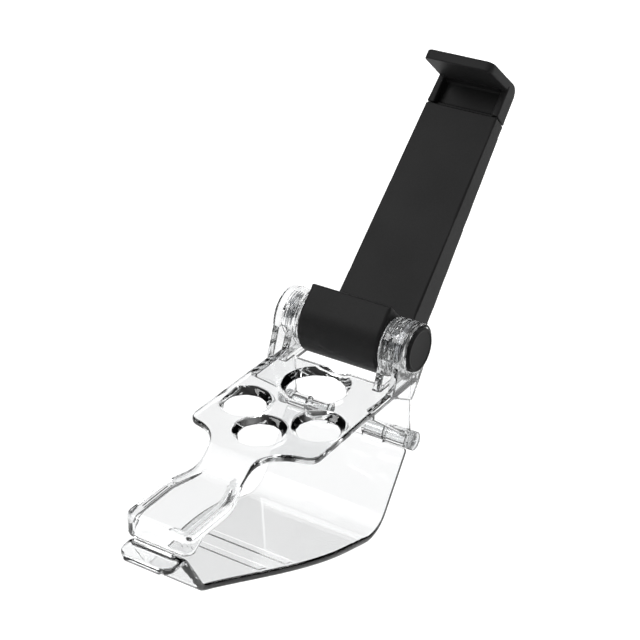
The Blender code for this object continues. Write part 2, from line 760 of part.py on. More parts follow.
on_arm = {"parent": arm_pivot}
bottom_centre = (back_at(0.0) - arm_bottom_radius, arm_bottom + arm_bottom_radius)
contact = math.degrees(math.asin(-arm_bottom / barrel_radius))
body_outline = arc(bottom_centre, arm_bottom_radius, 0.0, -90.0, 6)
body_outline += arc((0.0, 0.0), barrel_radius, -contact, -180.0, 22)
body_outline += [(-barrel_radius, shelf_height - lip_chamfer),
                 (-barrel_radius + lip_chamfer, shelf_height), (arm_front, shelf_height),
                 (arm_front, sleeve_top), (back_at(sleeve_top), sleeve_top)]
arm_body = prism("arm_body", body_outline, "X", -barrel_half_length, barrel_half_length,
                 black_plastic("black_arm"), **on_arm)
low_width = half_width_at(shelf_height)
top_width = half_width_at(sleeve_top)
front_view = [(-barrel_half_length - 1.0, -cut_reach), (barrel_half_length + 1.0, -cut_reach),
              (barrel_half_length + 1.0, shelf_height - 0.01), (low_width, shelf_height + 0.01),
              (top_width, sleeve_top + 1.0), (-top_width, sleeve_top + 1.0),
              (-low_width, shelf_height + 0.01), (-barrel_half_length - 1.0, shelf_height - 0.01)]
arm_taper = prism("arm_taper", front_view, "Y", -cut_reach, cut_reach, **on_arm)
combine(arm_body, "INTERSECT", arm_taper)

bushing_outer = bore_radius + bushing_wall
barrel_bore = turned("barrel_bore", [(-cut_reach, 0.0), (-cut_reach, bushing_outer + 0.1),
                                     (cut_reach, bushing_outer + 0.1), (cut_reach, 0.0)], (0.0, 0.0),
                     segments=32, **on_arm)
cavity_front = arm_front + front_wall
cavity = box("sleeve_cavity", (-cavity_half_width, cavity_front, cavity_bottom),
             (cavity_half_width, cut_reach, sleeve_top + 5.0), **on_arm)
seat_depth = cover_thickness + gap
seat_outline = [(back_at(cover_bottom) - seat_depth, cover_bottom), (cut_reach, cover_bottom),
                (cut_reach, sleeve_top + 5.0),
                (back_at(sleeve_top + 5.0) - seat_depth, sleeve_top + 5.0)]
cover_seat = prism("cover_seat", seat_outline, "X", -cover_half_width - gap,
                   cover_half_width + gap, **on_arm)
combine(arm_body, "DIFFERENCE", barrel_bore, cavity, cover_seat)

arm_cover_outline = [(back_at(cover_bottom + gap) - cover_thickness, cover_bottom + gap),
                     (back_at(cover_bottom + gap), cover_bottom + gap),
                     (back_at(sleeve_top), sleeve_top),
                     (back_at(sleeve_top) - cover_thickness, sleeve_top)]
arm_cover = prism("arm_cover", arm_cover_outline, "X", -cover_half_width, cover_half_width,
                  black_plastic("black_cover"), **on_arm)

bushing_half = barrel_half_length - 0.1
pivot_bushing = turned("pivot_bushing", [(-bushing_half, bore_radius), (bushing_half, bore_radius),
                                         (bushing_half, bushing_outer),
                                         (-bushing_half, bushing_outer)], (0.0, 0.0),
                       steel("steel_bushing"), segments=32, hollow=True, **on_arm)

# Sliding head: hook, pocket and rail are one black moulding

head_bottom = sleeve_top + head_gap
hook_bottom = head_bottom + head_height
hook_slope = math.tan(math.radians(hook_droop))
head_back = back_at(sleeve_top)
hook_front = arm_front - hook_reach


def hook_under(y):
    """Height of the hook's underside, which droops towards its free edge."""
    return hook_bottom + (y - arm_front) * hook_slope


hook_lift = hook_thickness / math.cos(math.radians(hook_droop))
back_centre_y = head_back - head_back_radius
back_centre = (back_centre_y, hook_under(back_centre_y) + hook_lift
               - head_back_radius / math.cos(math.radians(hook_droop)))
hook_top = hook_under(head_back) + hook_lift
head_outline = [(arm_front, head_bottom), (arm_front, hook_bottom),
                (hook_front, hook_under(hook_front)),
                (hook_front, hook_under(hook_front) + hook_lift - 0.5),
                (hook_front + 0.5, hook_under(hook_front + 0.5) + hook_lift)]
head_outline += arc(back_centre, head_back_radius, 90.0 + hook_droop, 0.0, 5)
head_outline += [(head_back, head_bottom)]
slider_head = prism("slider_head", head_outline, "X", -head_half_width - 2.0,
                    head_half_width + 2.0, black_plastic("black_head"), **on_arm)
head_front_view = [(-arm_top_half_width, head_bottom - 1.0), (arm_top_half_width, head_bottom - 1.0),
                   (head_half_width, hook_top + 1.0), (-head_half_width, hook_top + 1.0)]
head_taper = prism("head_taper", head_front_view, "Y", -cut_reach, cut_reach, **on_arm)
corner_x = hook_front_half_width - hook_corner_radius
corner_y = hook_front + hook_corner_radius
plan_half = [(head_half_width + 2.0, head_back + 2.0), (head_half_width + 2.0, arm_front + 0.5),
             (head_half_width, arm_front)]
plan_half += arc((corner_x, corner_y), hook_corner_radius, 0.0, -90.0, 6)
head_plan = prism("head_plan", mirrored(plan_half), "Z", head_bottom - 5.0, hook_top + 5.0,
                  **on_arm)
pocket = box("head_pocket", (-pocket_half_width, arm_front - 1.0, head_bottom - 1.0),
             (pocket_half_width, arm_front + pocket_depth, hook_bottom), **on_arm)
combine(slider_head, "INTERSECT", head_taper, head_plan)
combine(slider_head, "DIFFERENCE", pocket)
rail_front = cavity_front + slide_gap
rail_back = rail_front + rail_thickness
shoulder_half = cavity_half_width - slide_gap
rail = box("head_rail", (-rail_half_width, rail_front, rail_bottom),
           (rail_half_width, rail_back, head_bottom + 1.0), **on_arm)
rail_shoulder = box("rail_shoulder", (-shoulder_half, rail_front, shoulder_bottom),
                    (shoulder_half, rail_back, head_bottom + 0.99), **on_arm)
combine(slider_head, "UNION", rail, rail_shoulder)
slot_bottom = stop_screw_place - head_travel - stop_screw_radius - gap
slot_top = stop_screw_place + stop_screw_radius + gap
slot_half = stop_screw_radius + gap
slot_outline = arc((0.0, slot_top - slot_half), slot_half, 0.0, 180.0, 8)
slot_outline += arc((0.0, slot_bottom + slot_half), slot_half, 180.0, 360.0, 8)
rail_slot = prism("rail_slot", slot_outline, "Y", rail_front - 1.0, rail_back + 1.0, **on_arm)
combine(slider_head, "DIFFERENCE", rail_slot)

# Two pull springs beside the rail, from pins in the sleeve to hooks on the rail's shoulders

spring_y = rail_front + rail_thickness / 2
pin_seat = arm_front + 0.6
for side, side_name in ((-1, "left"), (1, "right")):
    spring_x = side * spring_offset
    pin_end = spring_y + spring_mean_radius + 0.4
    pin_centre = (spring_x, spring_pin_place)
    pin_hole = turned(f"spring_pin_hole_{side_name}",
                      [(pin_seat, 0.0), (pin_seat, spring_pin_radius + 0.1),
                       (cavity_front + 1.0, spring_pin_radius + 0.1), (cavity_front + 1.0, 0.0)],
                      pin_centre, axis="Y", segments=16, **on_arm)
    combine(arm_body, "DIFFERENCE", pin_hole)
    turned(f"spring_pin_{side_name}", [(pin_seat + 0.1, 0.0), (pin_seat + 0.1, spring_pin_radius),
                                       (pin_end, spring_pin_radius), (pin_end, 0.0)],
           pin_centre, steel(f"steel_spring_pin_{side_name}"), axis="Y", segments=16, **on_arm)
    loop_radius = spring_pin_radius + spring_wire_radius + 0.15
    route = []
    for step in range(11):
        angle = math.radians(60.0 - 300.0 * step / 10)
        route.append((spring_x + loop_radius * math.cos(angle), spring_y,
                      spring_pin_place + loop_radius * math.sin(angle)))
    coil_start = spring_pin_place + loop_radius + spring_lead
    coil_end = shoulder_bottom - spring_lead
    coil_steps = spring_turns * spring_points_per_turn
    for step in range(coil_steps + 1):
        angle = math.tau * step / spring_points_per_turn
        rise = (coil_end - coil_start) * step / coil_steps
        route.append((spring_x + spring_mean_radius * math.cos(angle),
                      spring_y + spring_mean_radius * math.sin(angle), coil_start + rise))
    route.append((spring_x, spring_y, coil_end + 0.9))
    route.append((spring_x, spring_y, shoulder_bottom - gap))
    wire = bpy.data.curves.new(f"spring_{side_name}", "CURVE")
    wire.dimensions = "3D"
    wire.bevel_depth = spring_wire_radius * MM
    wire.bevel_resolution = 1
    wire.use_fill_caps = True
    strand = wire.splines.new("POLY")
    strand.points.add(len(route) - 1)
    for point, place in zip(strand.points, route):
        point.co = (*(Vector(place) * MM), 1.0)
    wire.materials.append(steel(f"steel_spring_{side_name}"))
    spring = bpy.data.objects.new(f"spring_{side_name}", wire)
    bpy.context.collection.objects.link(spring)
    spring.parent = arm_pivot

# Stop screw for the rail and two screws that hold the back cover


def cover_screw(name, x, z, tip, shaft_radius, look):
    """A pan-head screw whose head lies on the back cover and whose shaft points to the phone."""
    face = back_at(z)
    return turned(name, [(face + 0.15 + small_head_height, 0.0),
                         (face + 0.15 + small_head_height, small_head_radius - 0.4),
                         (face + 0.15 + small_head_height - 0.4, small_head_radius),
                         (face + 0.15, small_head_radius), (face + 0.15, shaft_radius),
                         (tip, shaft_radius), (tip, 0.0)],
                  (x, z), look, axis="Y", segments=20, **on_arm)


def screw_hole(name, x, z, start, end, radius):
    return turned(name, [(start, 0.0), (start, radius), (end, radius), (end, 0.0)], (x, z),
                  axis="Y", segments=20, **on_arm)


stop_screw = cover_screw("stop_screw", 0.0, stop_screw_place, cavity_front + 0.2,
                         stop_screw_radius, steel("steel_stop_screw"))
combine(arm_cover, "DIFFERENCE", screw_hole("stop_screw_hole", 0.0, stop_screw_place, 5.0,
                                            cut_reach, stop_screw_radius + 0.1))
for side, side_name in ((-1, "left"), (1, "right")):
    screw_x = side * cover_screw_offset
    tip = back_at(cover_screw_place) - cover_screw_length
    cover_screw(f"cover_screw_{side_name}", screw_x, cover_screw_place, tip, cover_screw_radius,
                steel(f"steel_cover_screw_{side_name}"))
    cover_hole = screw_hole(f"cover_hole_{side_name}", screw_x, cover_screw_place, tip - gap,
                            cut_reach, cover_screw_radius + 0.1)
    combine(arm_cover, "DIFFERENCE", cover_hole)
    combine(arm_body, "DIFFERENCE", cover_hole)
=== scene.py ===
"""Looks of the controller phone clip: a clear clamp with hinge towers and a black telescopic arm.

The pieces follow each other as the clip is put together. Sizes are in millimetres, and each mesh
becomes metres when it is made. Points of the arm are given along and across the arm and then leaned.
"""

import math

import bpy
import numpy as np
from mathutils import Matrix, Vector


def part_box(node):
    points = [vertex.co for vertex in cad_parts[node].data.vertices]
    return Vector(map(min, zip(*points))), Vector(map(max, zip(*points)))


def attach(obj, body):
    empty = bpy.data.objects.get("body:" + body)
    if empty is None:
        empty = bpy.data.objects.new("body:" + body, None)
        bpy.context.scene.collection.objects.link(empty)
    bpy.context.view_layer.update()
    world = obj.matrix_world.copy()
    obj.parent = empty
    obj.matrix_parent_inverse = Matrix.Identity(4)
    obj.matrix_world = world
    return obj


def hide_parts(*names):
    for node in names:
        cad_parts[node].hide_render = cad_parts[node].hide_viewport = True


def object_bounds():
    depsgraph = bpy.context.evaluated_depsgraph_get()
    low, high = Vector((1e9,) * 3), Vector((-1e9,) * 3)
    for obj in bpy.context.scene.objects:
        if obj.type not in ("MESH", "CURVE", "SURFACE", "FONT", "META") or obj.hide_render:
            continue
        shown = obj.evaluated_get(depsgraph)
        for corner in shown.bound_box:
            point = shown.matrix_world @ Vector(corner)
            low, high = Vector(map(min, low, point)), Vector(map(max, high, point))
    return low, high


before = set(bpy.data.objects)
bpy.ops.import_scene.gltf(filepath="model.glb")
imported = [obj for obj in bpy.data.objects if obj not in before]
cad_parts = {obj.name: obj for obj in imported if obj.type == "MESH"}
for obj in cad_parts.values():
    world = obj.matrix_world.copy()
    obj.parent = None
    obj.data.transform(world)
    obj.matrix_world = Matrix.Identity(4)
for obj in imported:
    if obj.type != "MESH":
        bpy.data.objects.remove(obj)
cad_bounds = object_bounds()

# Camera: a long lens in front of the clip's right side, looking down on it by 29 degrees.
# Its place and lens follow the photograph's perspective.
lens_data = bpy.data.cameras.new("clip_camera")
lens_data.lens = 99.0
lens_data.sensor_width = 36.0
lens_data.clip_start = 0.01
lens_data.clip_end = 20.0
clip_camera = bpy.data.objects.new("clip_camera", lens_data)
clip_camera.location = (0.21683, -0.31678, 0.24202)
clip_camera.rotation_euler = (math.radians(61.0), 0.0, math.radians(32.9))
bpy.context.collection.objects.link(clip_camera)
bpy.context.scene.camera = clip_camera
bpy.context.scene.view_settings.view_transform = "Standard"

# Studio: a matt white floor, low enough for the shell to swing open above it, and a white surround for
# the camera. Glass and gloss see a dark flag above the horizon, which draws the lines of clear edges.
shell_swing_drop = 0.072
floor_height = cad_bounds[0][2] - shell_swing_drop
floor_half_side = 2.0
floor_fade = (0.25, 0.90)
floor_far_light = 0.70
horizon_level = (0.495, 0.95)
zenith_level = (1.0, 0.75)
flag_levels = ((0.530, 0.95), (0.545, 0.02), (0.72, 0.03), (0.76, 0.12), (0.87, 0.40), (0.94, 0.80))
floor_own_light = 0.36
floor_camera_light = 0.08


def make_surround():
    """World light as a ramp over the height of the ray, plain white where the camera looks at it."""
    world = bpy.data.worlds.new("studio")
    bpy.context.scene.world = world
    world.use_nodes = True
    tree = world.node_tree
    tree.nodes.clear()
    output = tree.nodes.new("ShaderNodeOutputWorld")
    light = tree.nodes.new("ShaderNodeBackground")
    white = tree.nodes.new("ShaderNodeBackground")
    white.inputs["Color"].default_value = (1.0, 1.0, 1.0, 1.0)
    mix = tree.nodes.new("ShaderNodeMixShader")
    path = tree.nodes.new("ShaderNodeLightPath")
    place = tree.nodes.new("ShaderNodeTexCoord")
    split = tree.nodes.new("ShaderNodeSeparateXYZ")
    height = tree.nodes.new("ShaderNodeMapRange")
    height.inputs["From Min"].default_value = -1.0
    ramp = tree.nodes.new("ShaderNodeValToRGB")
    for stop, (position, level) in zip(ramp.color_ramp.elements, (horizon_level, zenith_level)):
        stop.position = position
        stop.color = (level, level, level, 1.0)
    for position, level in flag_levels:
        stop = ramp.color_ramp.elements.new(position)
        stop.color = (level, level, level, 1.0)
    tree.links.new(place.outputs["Generated"], split.inputs["Vector"])
    tree.links.new(split.outputs["Z"], height.inputs["Value"])
    tree.links.new(height.outputs["Result"], ramp.inputs["Fac"])
    tree.links.new(ramp.outputs["Color"], light.inputs["Color"])
    tree.links.new(path.outputs["Is Camera Ray"], mix.inputs["Fac"])
    tree.links.new(light.outputs["Background"], mix.inputs[1])
    tree.links.new(white.outputs["Background"], mix.inputs[2])
    tree.links.new(mix.outputs["Shader"], output.inputs["Surface"])


def make_floor():
    """A flat square, lit by the lamps, with more light of its own where the camera sees it far off."""
    corner = np.array([[-1, -1], [1, -1], [1, 1], [-1, 1]]) * floor_half_side
    points = np.column_stack([corner, np.full(4, floor_height)])
    mesh = bpy.data.meshes.new("studio_floor")
    mesh.from_pydata(points.tolist(), [], [(0, 1, 2, 3)])
    material = bpy.data.materials.new("studio_floor")
    material.use_nodes = True
    tree = material.node_tree
    shader = tree.nodes["Principled BSDF"]
    shader.inputs["Base Color"].default_value = (0.80, 0.80, 0.80, 1.0)
    shader.inputs["Roughness"].default_value = 1.0
    shader.inputs["Specular IOR Level"].default_value = 0.0
    shader.inputs["Emission Color"].default_value = (1.0, 1.0, 1.0, 1.0)
    path = tree.nodes.new("ShaderNodeLightPath")
    strength = tree.nodes.new("ShaderNodeMath")
    strength.operation = "MULTIPLY_ADD"
    strength.inputs[2].default_value = floor_own_light
    place = tree.nodes.new("ShaderNodeTexCoord")
    distance = tree.nodes.new("ShaderNodeVectorMath")
    distance.operation = "LENGTH"
    fade = tree.nodes.new("ShaderNodeMapRange")
    fade.inputs["From Min"].default_value = floor_fade[0]
    fade.inputs["From Max"].default_value = floor_fade[1]
    fade.inputs["To Min"].default_value = floor_camera_light
    fade.inputs["To Max"].default_value = floor_far_light
    tree.links.new(place.outputs["Object"], distance.inputs[0])
    tree.links.new(distance.outputs["Value"], fade.inputs["Value"])
    tree.links.new(fade.outputs["Result"], strength.inputs[1])
    tree.links.new(path.outputs["Is Camera Ray"], strength.inputs[0])
    tree.links.new(strength.outputs[0], shader.inputs["Emission Strength"])
    mesh.materials.append(material)
    floor = bpy.data.objects.new("studio_floor", mesh)
    bpy.context.collection.objects.link(floor)


def soft_box(name, place, target, size, power):
    """A square area lamp that faces the target point."""
    lamp = bpy.data.lights.new(name, "AREA")
    lamp.shape = "SQUARE"
    lamp.size = size
    lamp.energy = power
    holder = bpy.data.objects.new(name, lamp)
    holder.location = place
    holder.rotation_euler = (Vector(target) - Vector(place)).to_track_quat("-Z", "Y").to_euler()
    bpy.context.collection.objects.link(holder)


make_surround()
make_floor()
clip_middle = (0.0, 0.01, 0.02)
soft_box("key_box", (-0.55, -0.45, 0.80), clip_middle, size=0.5, power=4.8)
soft_box("side_box", (0.85, 0.25, 0.40), clip_middle, size=0.4, power=0.45)
soft_box("back_box", (0.10, 0.75, 0.75), clip_middle, size=0.6, power=4.4)

# Clear top: plate, waist, tongue, two hinge towers and two cheeks in one polycarbonate moulding,
# 2 mm thick, with dished holes over the controller's buttons. It has no seam, so its skin comes from a
# distance rule and not from one sheet.
MM = 0.001
plate_thickness = 2.0
plate_half_width = 19.4
plate_back = 26.5
plate_edge_radius = 0.75
plan_back = 35.9
profile_back = 42.9
shoulder_start = -11.0
shoulder_radius = 3.5
shoulder_sweep = 80.0
waist_half_width = 7.0
waist_place = -25.0
waist_leave = (5.0, 0.9)
waist_arrive = (0.2, 6.5)
waist_ease = 5.0
tongue_half_width = 9.8
tongue_start = -38.0
tongue_front = -53.4
tongue_corner_radius = 3.0
tongue_drop = 3.4
drop_start = -19.0
drop_end = -31.0
tongue_edge_gain = 0.1
edge_wall = 1.8
edge_drop = 1.6
edge_start = -26.5
edge_run = 8.0
hollow_radius = 1.5
hollow_back = -20.0
hollow_ceiling = -1.5
hollow_shoulder = (-24.0, -2.1)
hollow_gap = 0.5
nose_bottom = -7.55
nose_radius = 1.8
nose_foot = 2.5
nose_ramp = 6.5
holes = ((-11.4, 0.0, 5.5, 7.2), (11.4, 0.0, 5.5, 7.2), (0.0, -9.7, 5.5, 7.2), (0.0, 16.5, 7.8, 9.4))
axis_y = 35.2
axis_z = 10.0
tower_radius = 7.9
tower_foot_front = 22.4
tower_foot_back = 37.9
foot_sink = 1.6
foot_web = ((tower_foot_back, 1.8), (35.4, -1.5))
foot_web_bottom = -4.5
drum_y = 33.7
drum_face = 12.8
drum_step = 0.2
left_drum_end = 15.5
leg_face = 13.6
inner_wall = 2.3
tower_face = 20.0
outer_wall = 2.0
band_wall = 1.8
band_back_angle = -30.0
boss_radius = 5.2
boss_span = (15.4, 19.5)
cup_start = 15.6
wall_edge_radius = 0.35
wall_fillet = 0.3
hinge_y = 32.5
hinge_z = -16.8
cheek_front = 14.0
cheek_back = 33.0
cheek_top = 1.5
cheek_front_bottom = -1.2
cheek_thickness = 2.0
sleeve_radius = 2.6
sleeve_sink = 0.05
sleeve_tangents = (135.0, 60.0)
sleeve_inner = 12.6
face_step = 0.1
small_fillet = 0.2
bore_edge_radius = 0.15
cut_rim_radius = 0.4
pivot_bore = 2.3
seat_radius = 6.9
seat_floor = 14.1
groove_radii = (5.1, 6.6)
groove_floor = 14.9
groove_edge_radius = 0.1
knob_seat_radius = 6.6
knob_seat_floor = 16.5
knob_cup_radius = 7.1
nut_pocket_apothem = 3.8
nut_pocket_floor = 16.7
hexagon_cosine = 0.866
hexagon_sine = 0.5
pin_bore = 1.35
hole_land = 0.2
hole_rim_radius = 0.45
hole_cut = (-1.5, 4.0)
hole_wave = 0.10
hole_lobes = 7.0
hole_slow_lobes = 3.0
hole_wave_climb = 1.9
ring_scale = 390.0
ring_depth = 0.05
ring_mask_sink = 0.4
ring_mask_fade = 0.3
ring_mask_drop = 4.0


def round_arc(centre, radius, start, end, steps):
    """Points of a circle from start to end, in degrees: centre + radius (cos, sin)."""
    angle = np.radians(np.linspace(start, end, steps + 1))
    return np.column_stack([centre[0] + radius * np.cos(angle), centre[1] + radius * np.sin(angle)])


def smooth_curve(first, leave, arrive, last, steps):
    """Points of a cubic curve with the four knots' usual weights."""
    t = np.linspace(0.0, 1.0, steps + 1)[:, None]
    weights = np.hstack([(1 - t) ** 3, 3 * t * (1 - t) ** 2, 3 * t * t * (1 - t), t ** 3])
    return weights @ np.array([first, leave, arrive, last], dtype=float)


def outline_of(*runs):
    """Joins runs of points into one closed outline and leaves out repeated points."""
    points = np.vstack([np.atleast_2d(run) for run in runs])
    step = np.hypot(*(points - np.roll(points, 1, axis=0)).T)
    return points[step > 1e-4]


def outline_distance(outline, u, v):
    """Distance in a plane to the nearest edge of a closed outline, negative inside it."""
    nearest = np.full(np.broadcast_shapes(np.shape(u), np.shape(v)), np.inf)
    inside = np.zeros(nearest.shape, dtype=bool)
    for (u0, v0), (u1, v1) in zip(outline, np.roll(outline, -1, axis=0)):
        du = u1 - u0
        dv = v1 - v0
        share = np.clip(((u - u0) * du + (v - v0) * dv) / (du * du + dv * dv), 0.0, 1.0)
        nearest = np.minimum(nearest, (u - u0 - share * du) ** 2 + (v - v0 - share * dv) ** 2)
        if dv != 0.0:
            inside ^= ((v0 <= v) != (v1 <= v)) & (u < u0 + du * (v - v0) / dv)
    return np.where(inside, -1.0, 1.0) * np.sqrt(nearest)


def meet(a, b, radius):
    """Distance to what lies in both solids; the edge between them is a quarter circle."""
    corner = np.hypot(np.maximum(a + radius, 0.0), np.maximum(b + radius, 0.0))
    return np.minimum(np.maximum(a, b), -radius) + corner


def join(a, b, radius):
    """Distance to what lies in either solid, with a fillet where they meet."""
    return -meet(-a, -b, radius)


def carve(a, b, radius):
    """Distance to the first solid without the second, with a rounded rim."""
    return meet(a, -b, radius)


def span(value, low, high):
    """Distance to the slab between low and high."""
    return np.maximum(low - value, value - high)


def skin(distance, low, high, cell):
    """Corners, quads and normals of the surface where distance is 0.

    A grid cell whose corners lie on both sides gets one corner point, which three steps along the
    gradient bring onto the surface. Each grid edge that crosses it gets a quad of its four cells.
    """
    low = np.array(low, dtype=float)
    counts = np.ceil((np.array(high) - low) / cell).astype(int) + 1
    lines = [low[axis] + cell * np.arange(counts[axis]) for axis in range(3)]
    inside = distance(*np.meshgrid(*lines, indexing="ij", sparse=True)) < 0.0
    total = sum(inside[i:counts[0] - 1 + i, j:counts[1] - 1 + j, k:counts[2] - 1 + k].astype(np.int8)
                for i in (0, 1) for j in (0, 1) for k in (0, 1))
    crossed = (total > 0) & (total < 8)
    index = np.full(crossed.shape, -1)
    index[crossed] = np.arange(crossed.sum())
    points = low + (np.argwhere(crossed) + 0.5) * cell
    probe = 0.01
    units = np.eye(3) * probe
    for turn in range(4):
        value = distance(*points.T)
        slope = np.column_stack([distance(*(points + unit).T) - distance(*(points - unit).T)
                                 for unit in units]) / (2.0 * probe)
        length = np.maximum((slope ** 2).sum(axis=1), 0.05)
        if turn < 3:
            move = np.clip(value / length, -cell, cell)
            points = points - slope * move[:, None]
    normals = slope / np.sqrt(length)[:, None]
    quads = []
    for axis in range(3):
        ahead, turned, lifted = np.roll(np.eye(3, dtype=int), -axis, axis=0)
        near_part = tuple(slice(0, -1) if along else slice(1, -1) for along in ahead)
        far_part = tuple(slice(1, None) if along else slice(1, -1) for along in ahead)
        near = inside[near_part]
        change = np.argwhere(near != inside[far_part])
        at = change + 1 - ahead
        ring = [at - turned - lifted, at - lifted, at, at - turned]
        quad = np.column_stack([index[tuple(cell_at.T)] for cell_at in ring])
        outward = near[tuple(change.T)]
        quads.append(np.where(outward[:, None], quad, quad[:, ::-1]))
    return points, np.vstack(quads), normals


def make_piece(name, points, faces, material, body, nodes, normals=None):
    """A smooth-shaded object from arrays in millimetres; faces is a list of arrays of corners."""
    mesh = bpy.data.meshes.new(name)
    mesh.vertices.add(len(points))
    mesh.vertices.foreach_set("co", (points * MM).astype(np.float32).ravel())
    corners = np.concatenate([part.ravel() for part in faces]).astype(np.int32)
    mesh.loops.add(len(corners))
    mesh.loops.foreach_set("vertex_index", corners)
    sides = np.concatenate([np.full(len(part), part.shape[1]) for part in faces])
    mesh.polygons.add(len(sides))
    mesh.polygons.foreach_set("loop_start", (np.cumsum(sides) - sides).astype(np.int32))
    mesh.update(calc_edges=True)
    mesh.shade_smooth()
    if normals is not None:
        mesh.normals_split_custom_set_from_vertices(normals.tolist())
    mesh.materials.append(material)
    piece = bpy.data.objects.new(name, mesh)
    bpy.context.collection.objects.link(piece)
    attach(piece, body)
    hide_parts(*nodes)
    return piece


def clear_material(name, tint, roughness, absorption):
    """Polished clear plastic that greys with depth, with a faint flow ripple.

    Lamp rays pass through it, so what lies below stays lit. Where the attribute ring_mask is 1, a wave
    along X adds fine turned rings.
    """
    material = bpy.data.materials.new(name)
    material.use_nodes = True
    tree = material.node_tree
    shader = tree.nodes["Principled BSDF"]
    shader.inputs["Base Color"].default_value = (*tint, 1.0)
    shader.inputs["Transmission Weight"].default_value = 1.0
    shader.inputs["IOR"].default_value = 1.56
    place = tree.nodes.new("ShaderNodeTexCoord")
    flow = tree.nodes.new("ShaderNodeTexNoise")
    flow.inputs["Scale"].default_value = 90.0
    flow.inputs["Detail"].default_value = 2.0
    ripple = tree.nodes.new("ShaderNodeBump")
    ripple.inputs["Strength"].default_value = 0.04
    ripple.inputs["Distance"].default_value = 0.0003
    mask = tree.nodes.new("ShaderNodeAttribute")
    mask.attribute_name = "ring_mask"
    rings = tree.nodes.new("ShaderNodeTexWave")
    rings.bands_direction = "X"
    rings.inputs["Scale"].default_value = ring_scale
    masked = tree.nodes.new("ShaderNodeMath")
    masked.operation = "MULTIPLY"
    grooves = tree.nodes.new("ShaderNodeBump")
    grooves.inputs["Strength"].default_value = 1.0
    grooves.inputs["Distance"].default_value = ring_depth * MM
    tree.links.new(mask.outputs["Fac"], masked.inputs[0])
    tree.links.new(rings.outputs["Fac"], masked.inputs[1])
    tree.links.new(masked.outputs[0], grooves.inputs["Height"])
    tree.links.new(ripple.outputs["Normal"], grooves.inputs["Normal"])
    gloss = tree.nodes.new("ShaderNodeMapRange")
    gloss.inputs["To Min"].default_value = roughness * 0.5
    gloss.inputs["To Max"].default_value = roughness * 1.5
    tree.links.new(place.outputs["Object"], flow.inputs["Vector"])
    tree.links.new(place.outputs["Object"], rings.inputs["Vector"])
    tree.links.new(flow.outputs["Fac"], ripple.inputs["Height"])
    tree.links.new(flow.outputs["Fac"], gloss.inputs["Value"])
    tree.links.new(gloss.outputs["Result"], shader.inputs["Roughness"])
    tree.links.new(grooves.outputs["Normal"], shader.inputs["Normal"])
    passing = tree.nodes.new("ShaderNodeBsdfTransparent")
    passing.inputs["Color"].default_value = (0.96, 0.965, 0.97, 1.0)
    path = tree.nodes.new("ShaderNodeLightPath")
    mix = tree.nodes.new("ShaderNodeMixShader")
    tree.links.new(path.outputs["Is Shadow Ray"], mix.inputs["Fac"])
    tree.links.new(shader.outputs["BSDF"], mix.inputs[1])
    tree.links.new(passing.outputs["BSDF"], mix.inputs[2])
    tree.links.new(mix.outputs["Shader"], tree.nodes["Material Output"].inputs["Surface"])
    depth = tree.nodes.new("ShaderNodeVolumeAbsorption")
    depth.inputs["Color"].default_value = (0.20, 0.22, 0.23, 1.0)
    depth.inputs["Density"].default_value = absorption
    tree.links.new(depth.outputs["Volume"], tree.nodes["Material Output"].inputs["Volume"])
    return material


def plate_plan():
    """Outline of plate, waist and tongue from above, with its mirror image."""
    shoulder = round_arc((plate_half_width - shoulder_radius, shoulder_start), shoulder_radius, 0.0,
                         -shoulder_sweep, 12)
    waist = (waist_half_width, waist_place)
    tongue = (tongue_half_width, tongue_start)
    first = smooth_curve(shoulder[-1], shoulder[-1] - waist_leave,
                         (waist_half_width + waist_arrive[0], waist_place + waist_arrive[1]), waist, 24)
    second = smooth_curve(waist, (waist_half_width, waist_place - waist_ease),
                          (tongue_half_width, tongue_start + waist_ease), tongue, 24)
    corner = (tongue_half_width - tongue_corner_radius, tongue_front + tongue_corner_radius)
    nose = round_arc(corner, tongue_corner_radius, 0.0, -90.0, 10)
    half = np.vstack([(plate_half_width, plan_back), shoulder, first, second, nose])
    return outline_of(half, half[::-1] * (-1.0, 1.0))


def top_line(inset):
    """Side view of the plate's top face, sunk at the tongue, lowered by inset."""
    high = plate_thickness - inset
    low = high - tongue_drop
    middle = (drop_start + drop_end) / 2
    sink = smooth_curve((drop_start, high), (middle, high), (middle, low), (drop_end, low), 24)
    return np.vstack([(profile_back, high), sink])


def nose_line(inset):
    """Quarter circle from the tongue's top face to its front, moved in by inset."""
    radius = nose_radius - inset * 0.5
    centre = (tongue_front + inset + radius, plate_thickness - tongue_drop - inset - radius)
    return round_arc(centre, radius, 90.0, 180.0, 10)


plan_outline = plate_plan()
underside = top_line(plate_thickness)
underside = underside[underside[:, 0] > edge_start]
edge_root = underside[-1]
edge_full = edge_root[0] - edge_run
edge_low = -tongue_drop - edge_drop
edge_curve = smooth_curve((edge_full, edge_low), (edge_full + edge_run / 2, edge_low),
                          (edge_root[0] - edge_run / 3, edge_root[1] - edge_drop), edge_root, 16)
side_outline = outline_of(top_line(0.0), nose_line(0.0), (tongue_front, nose_bottom),
                          (tongue_front + nose_foot, nose_bottom),
                          (tongue_front + nose_ramp, edge_low),
                          edge_curve, underside[::-1])
hollow_line = np.vstack([top_line(plate_thickness), nose_line(plate_thickness)])
hollow_line = hollow_line[hollow_line[:, 0] < edge_root[0] - hollow_gap]
hollow_outline = outline_of(hollow_line, (tongue_front + edge_wall, hollow_back),
                            (hollow_back, hollow_back), (hollow_back, hollow_ceiling),
                            hollow_shoulder)
drum_centre = (drum_y, axis_z)
tower_arc = round_arc(drum_centre, tower_radius, 180.0, band_back_angle, 48)
band_arc = round_arc(drum_centre, tower_radius - band_wall, band_back_angle, 180.0, 48)
inner_outline = outline_of((tower_foot_front, foot_sink), tower_arc, (tower_foot_back, foot_sink))
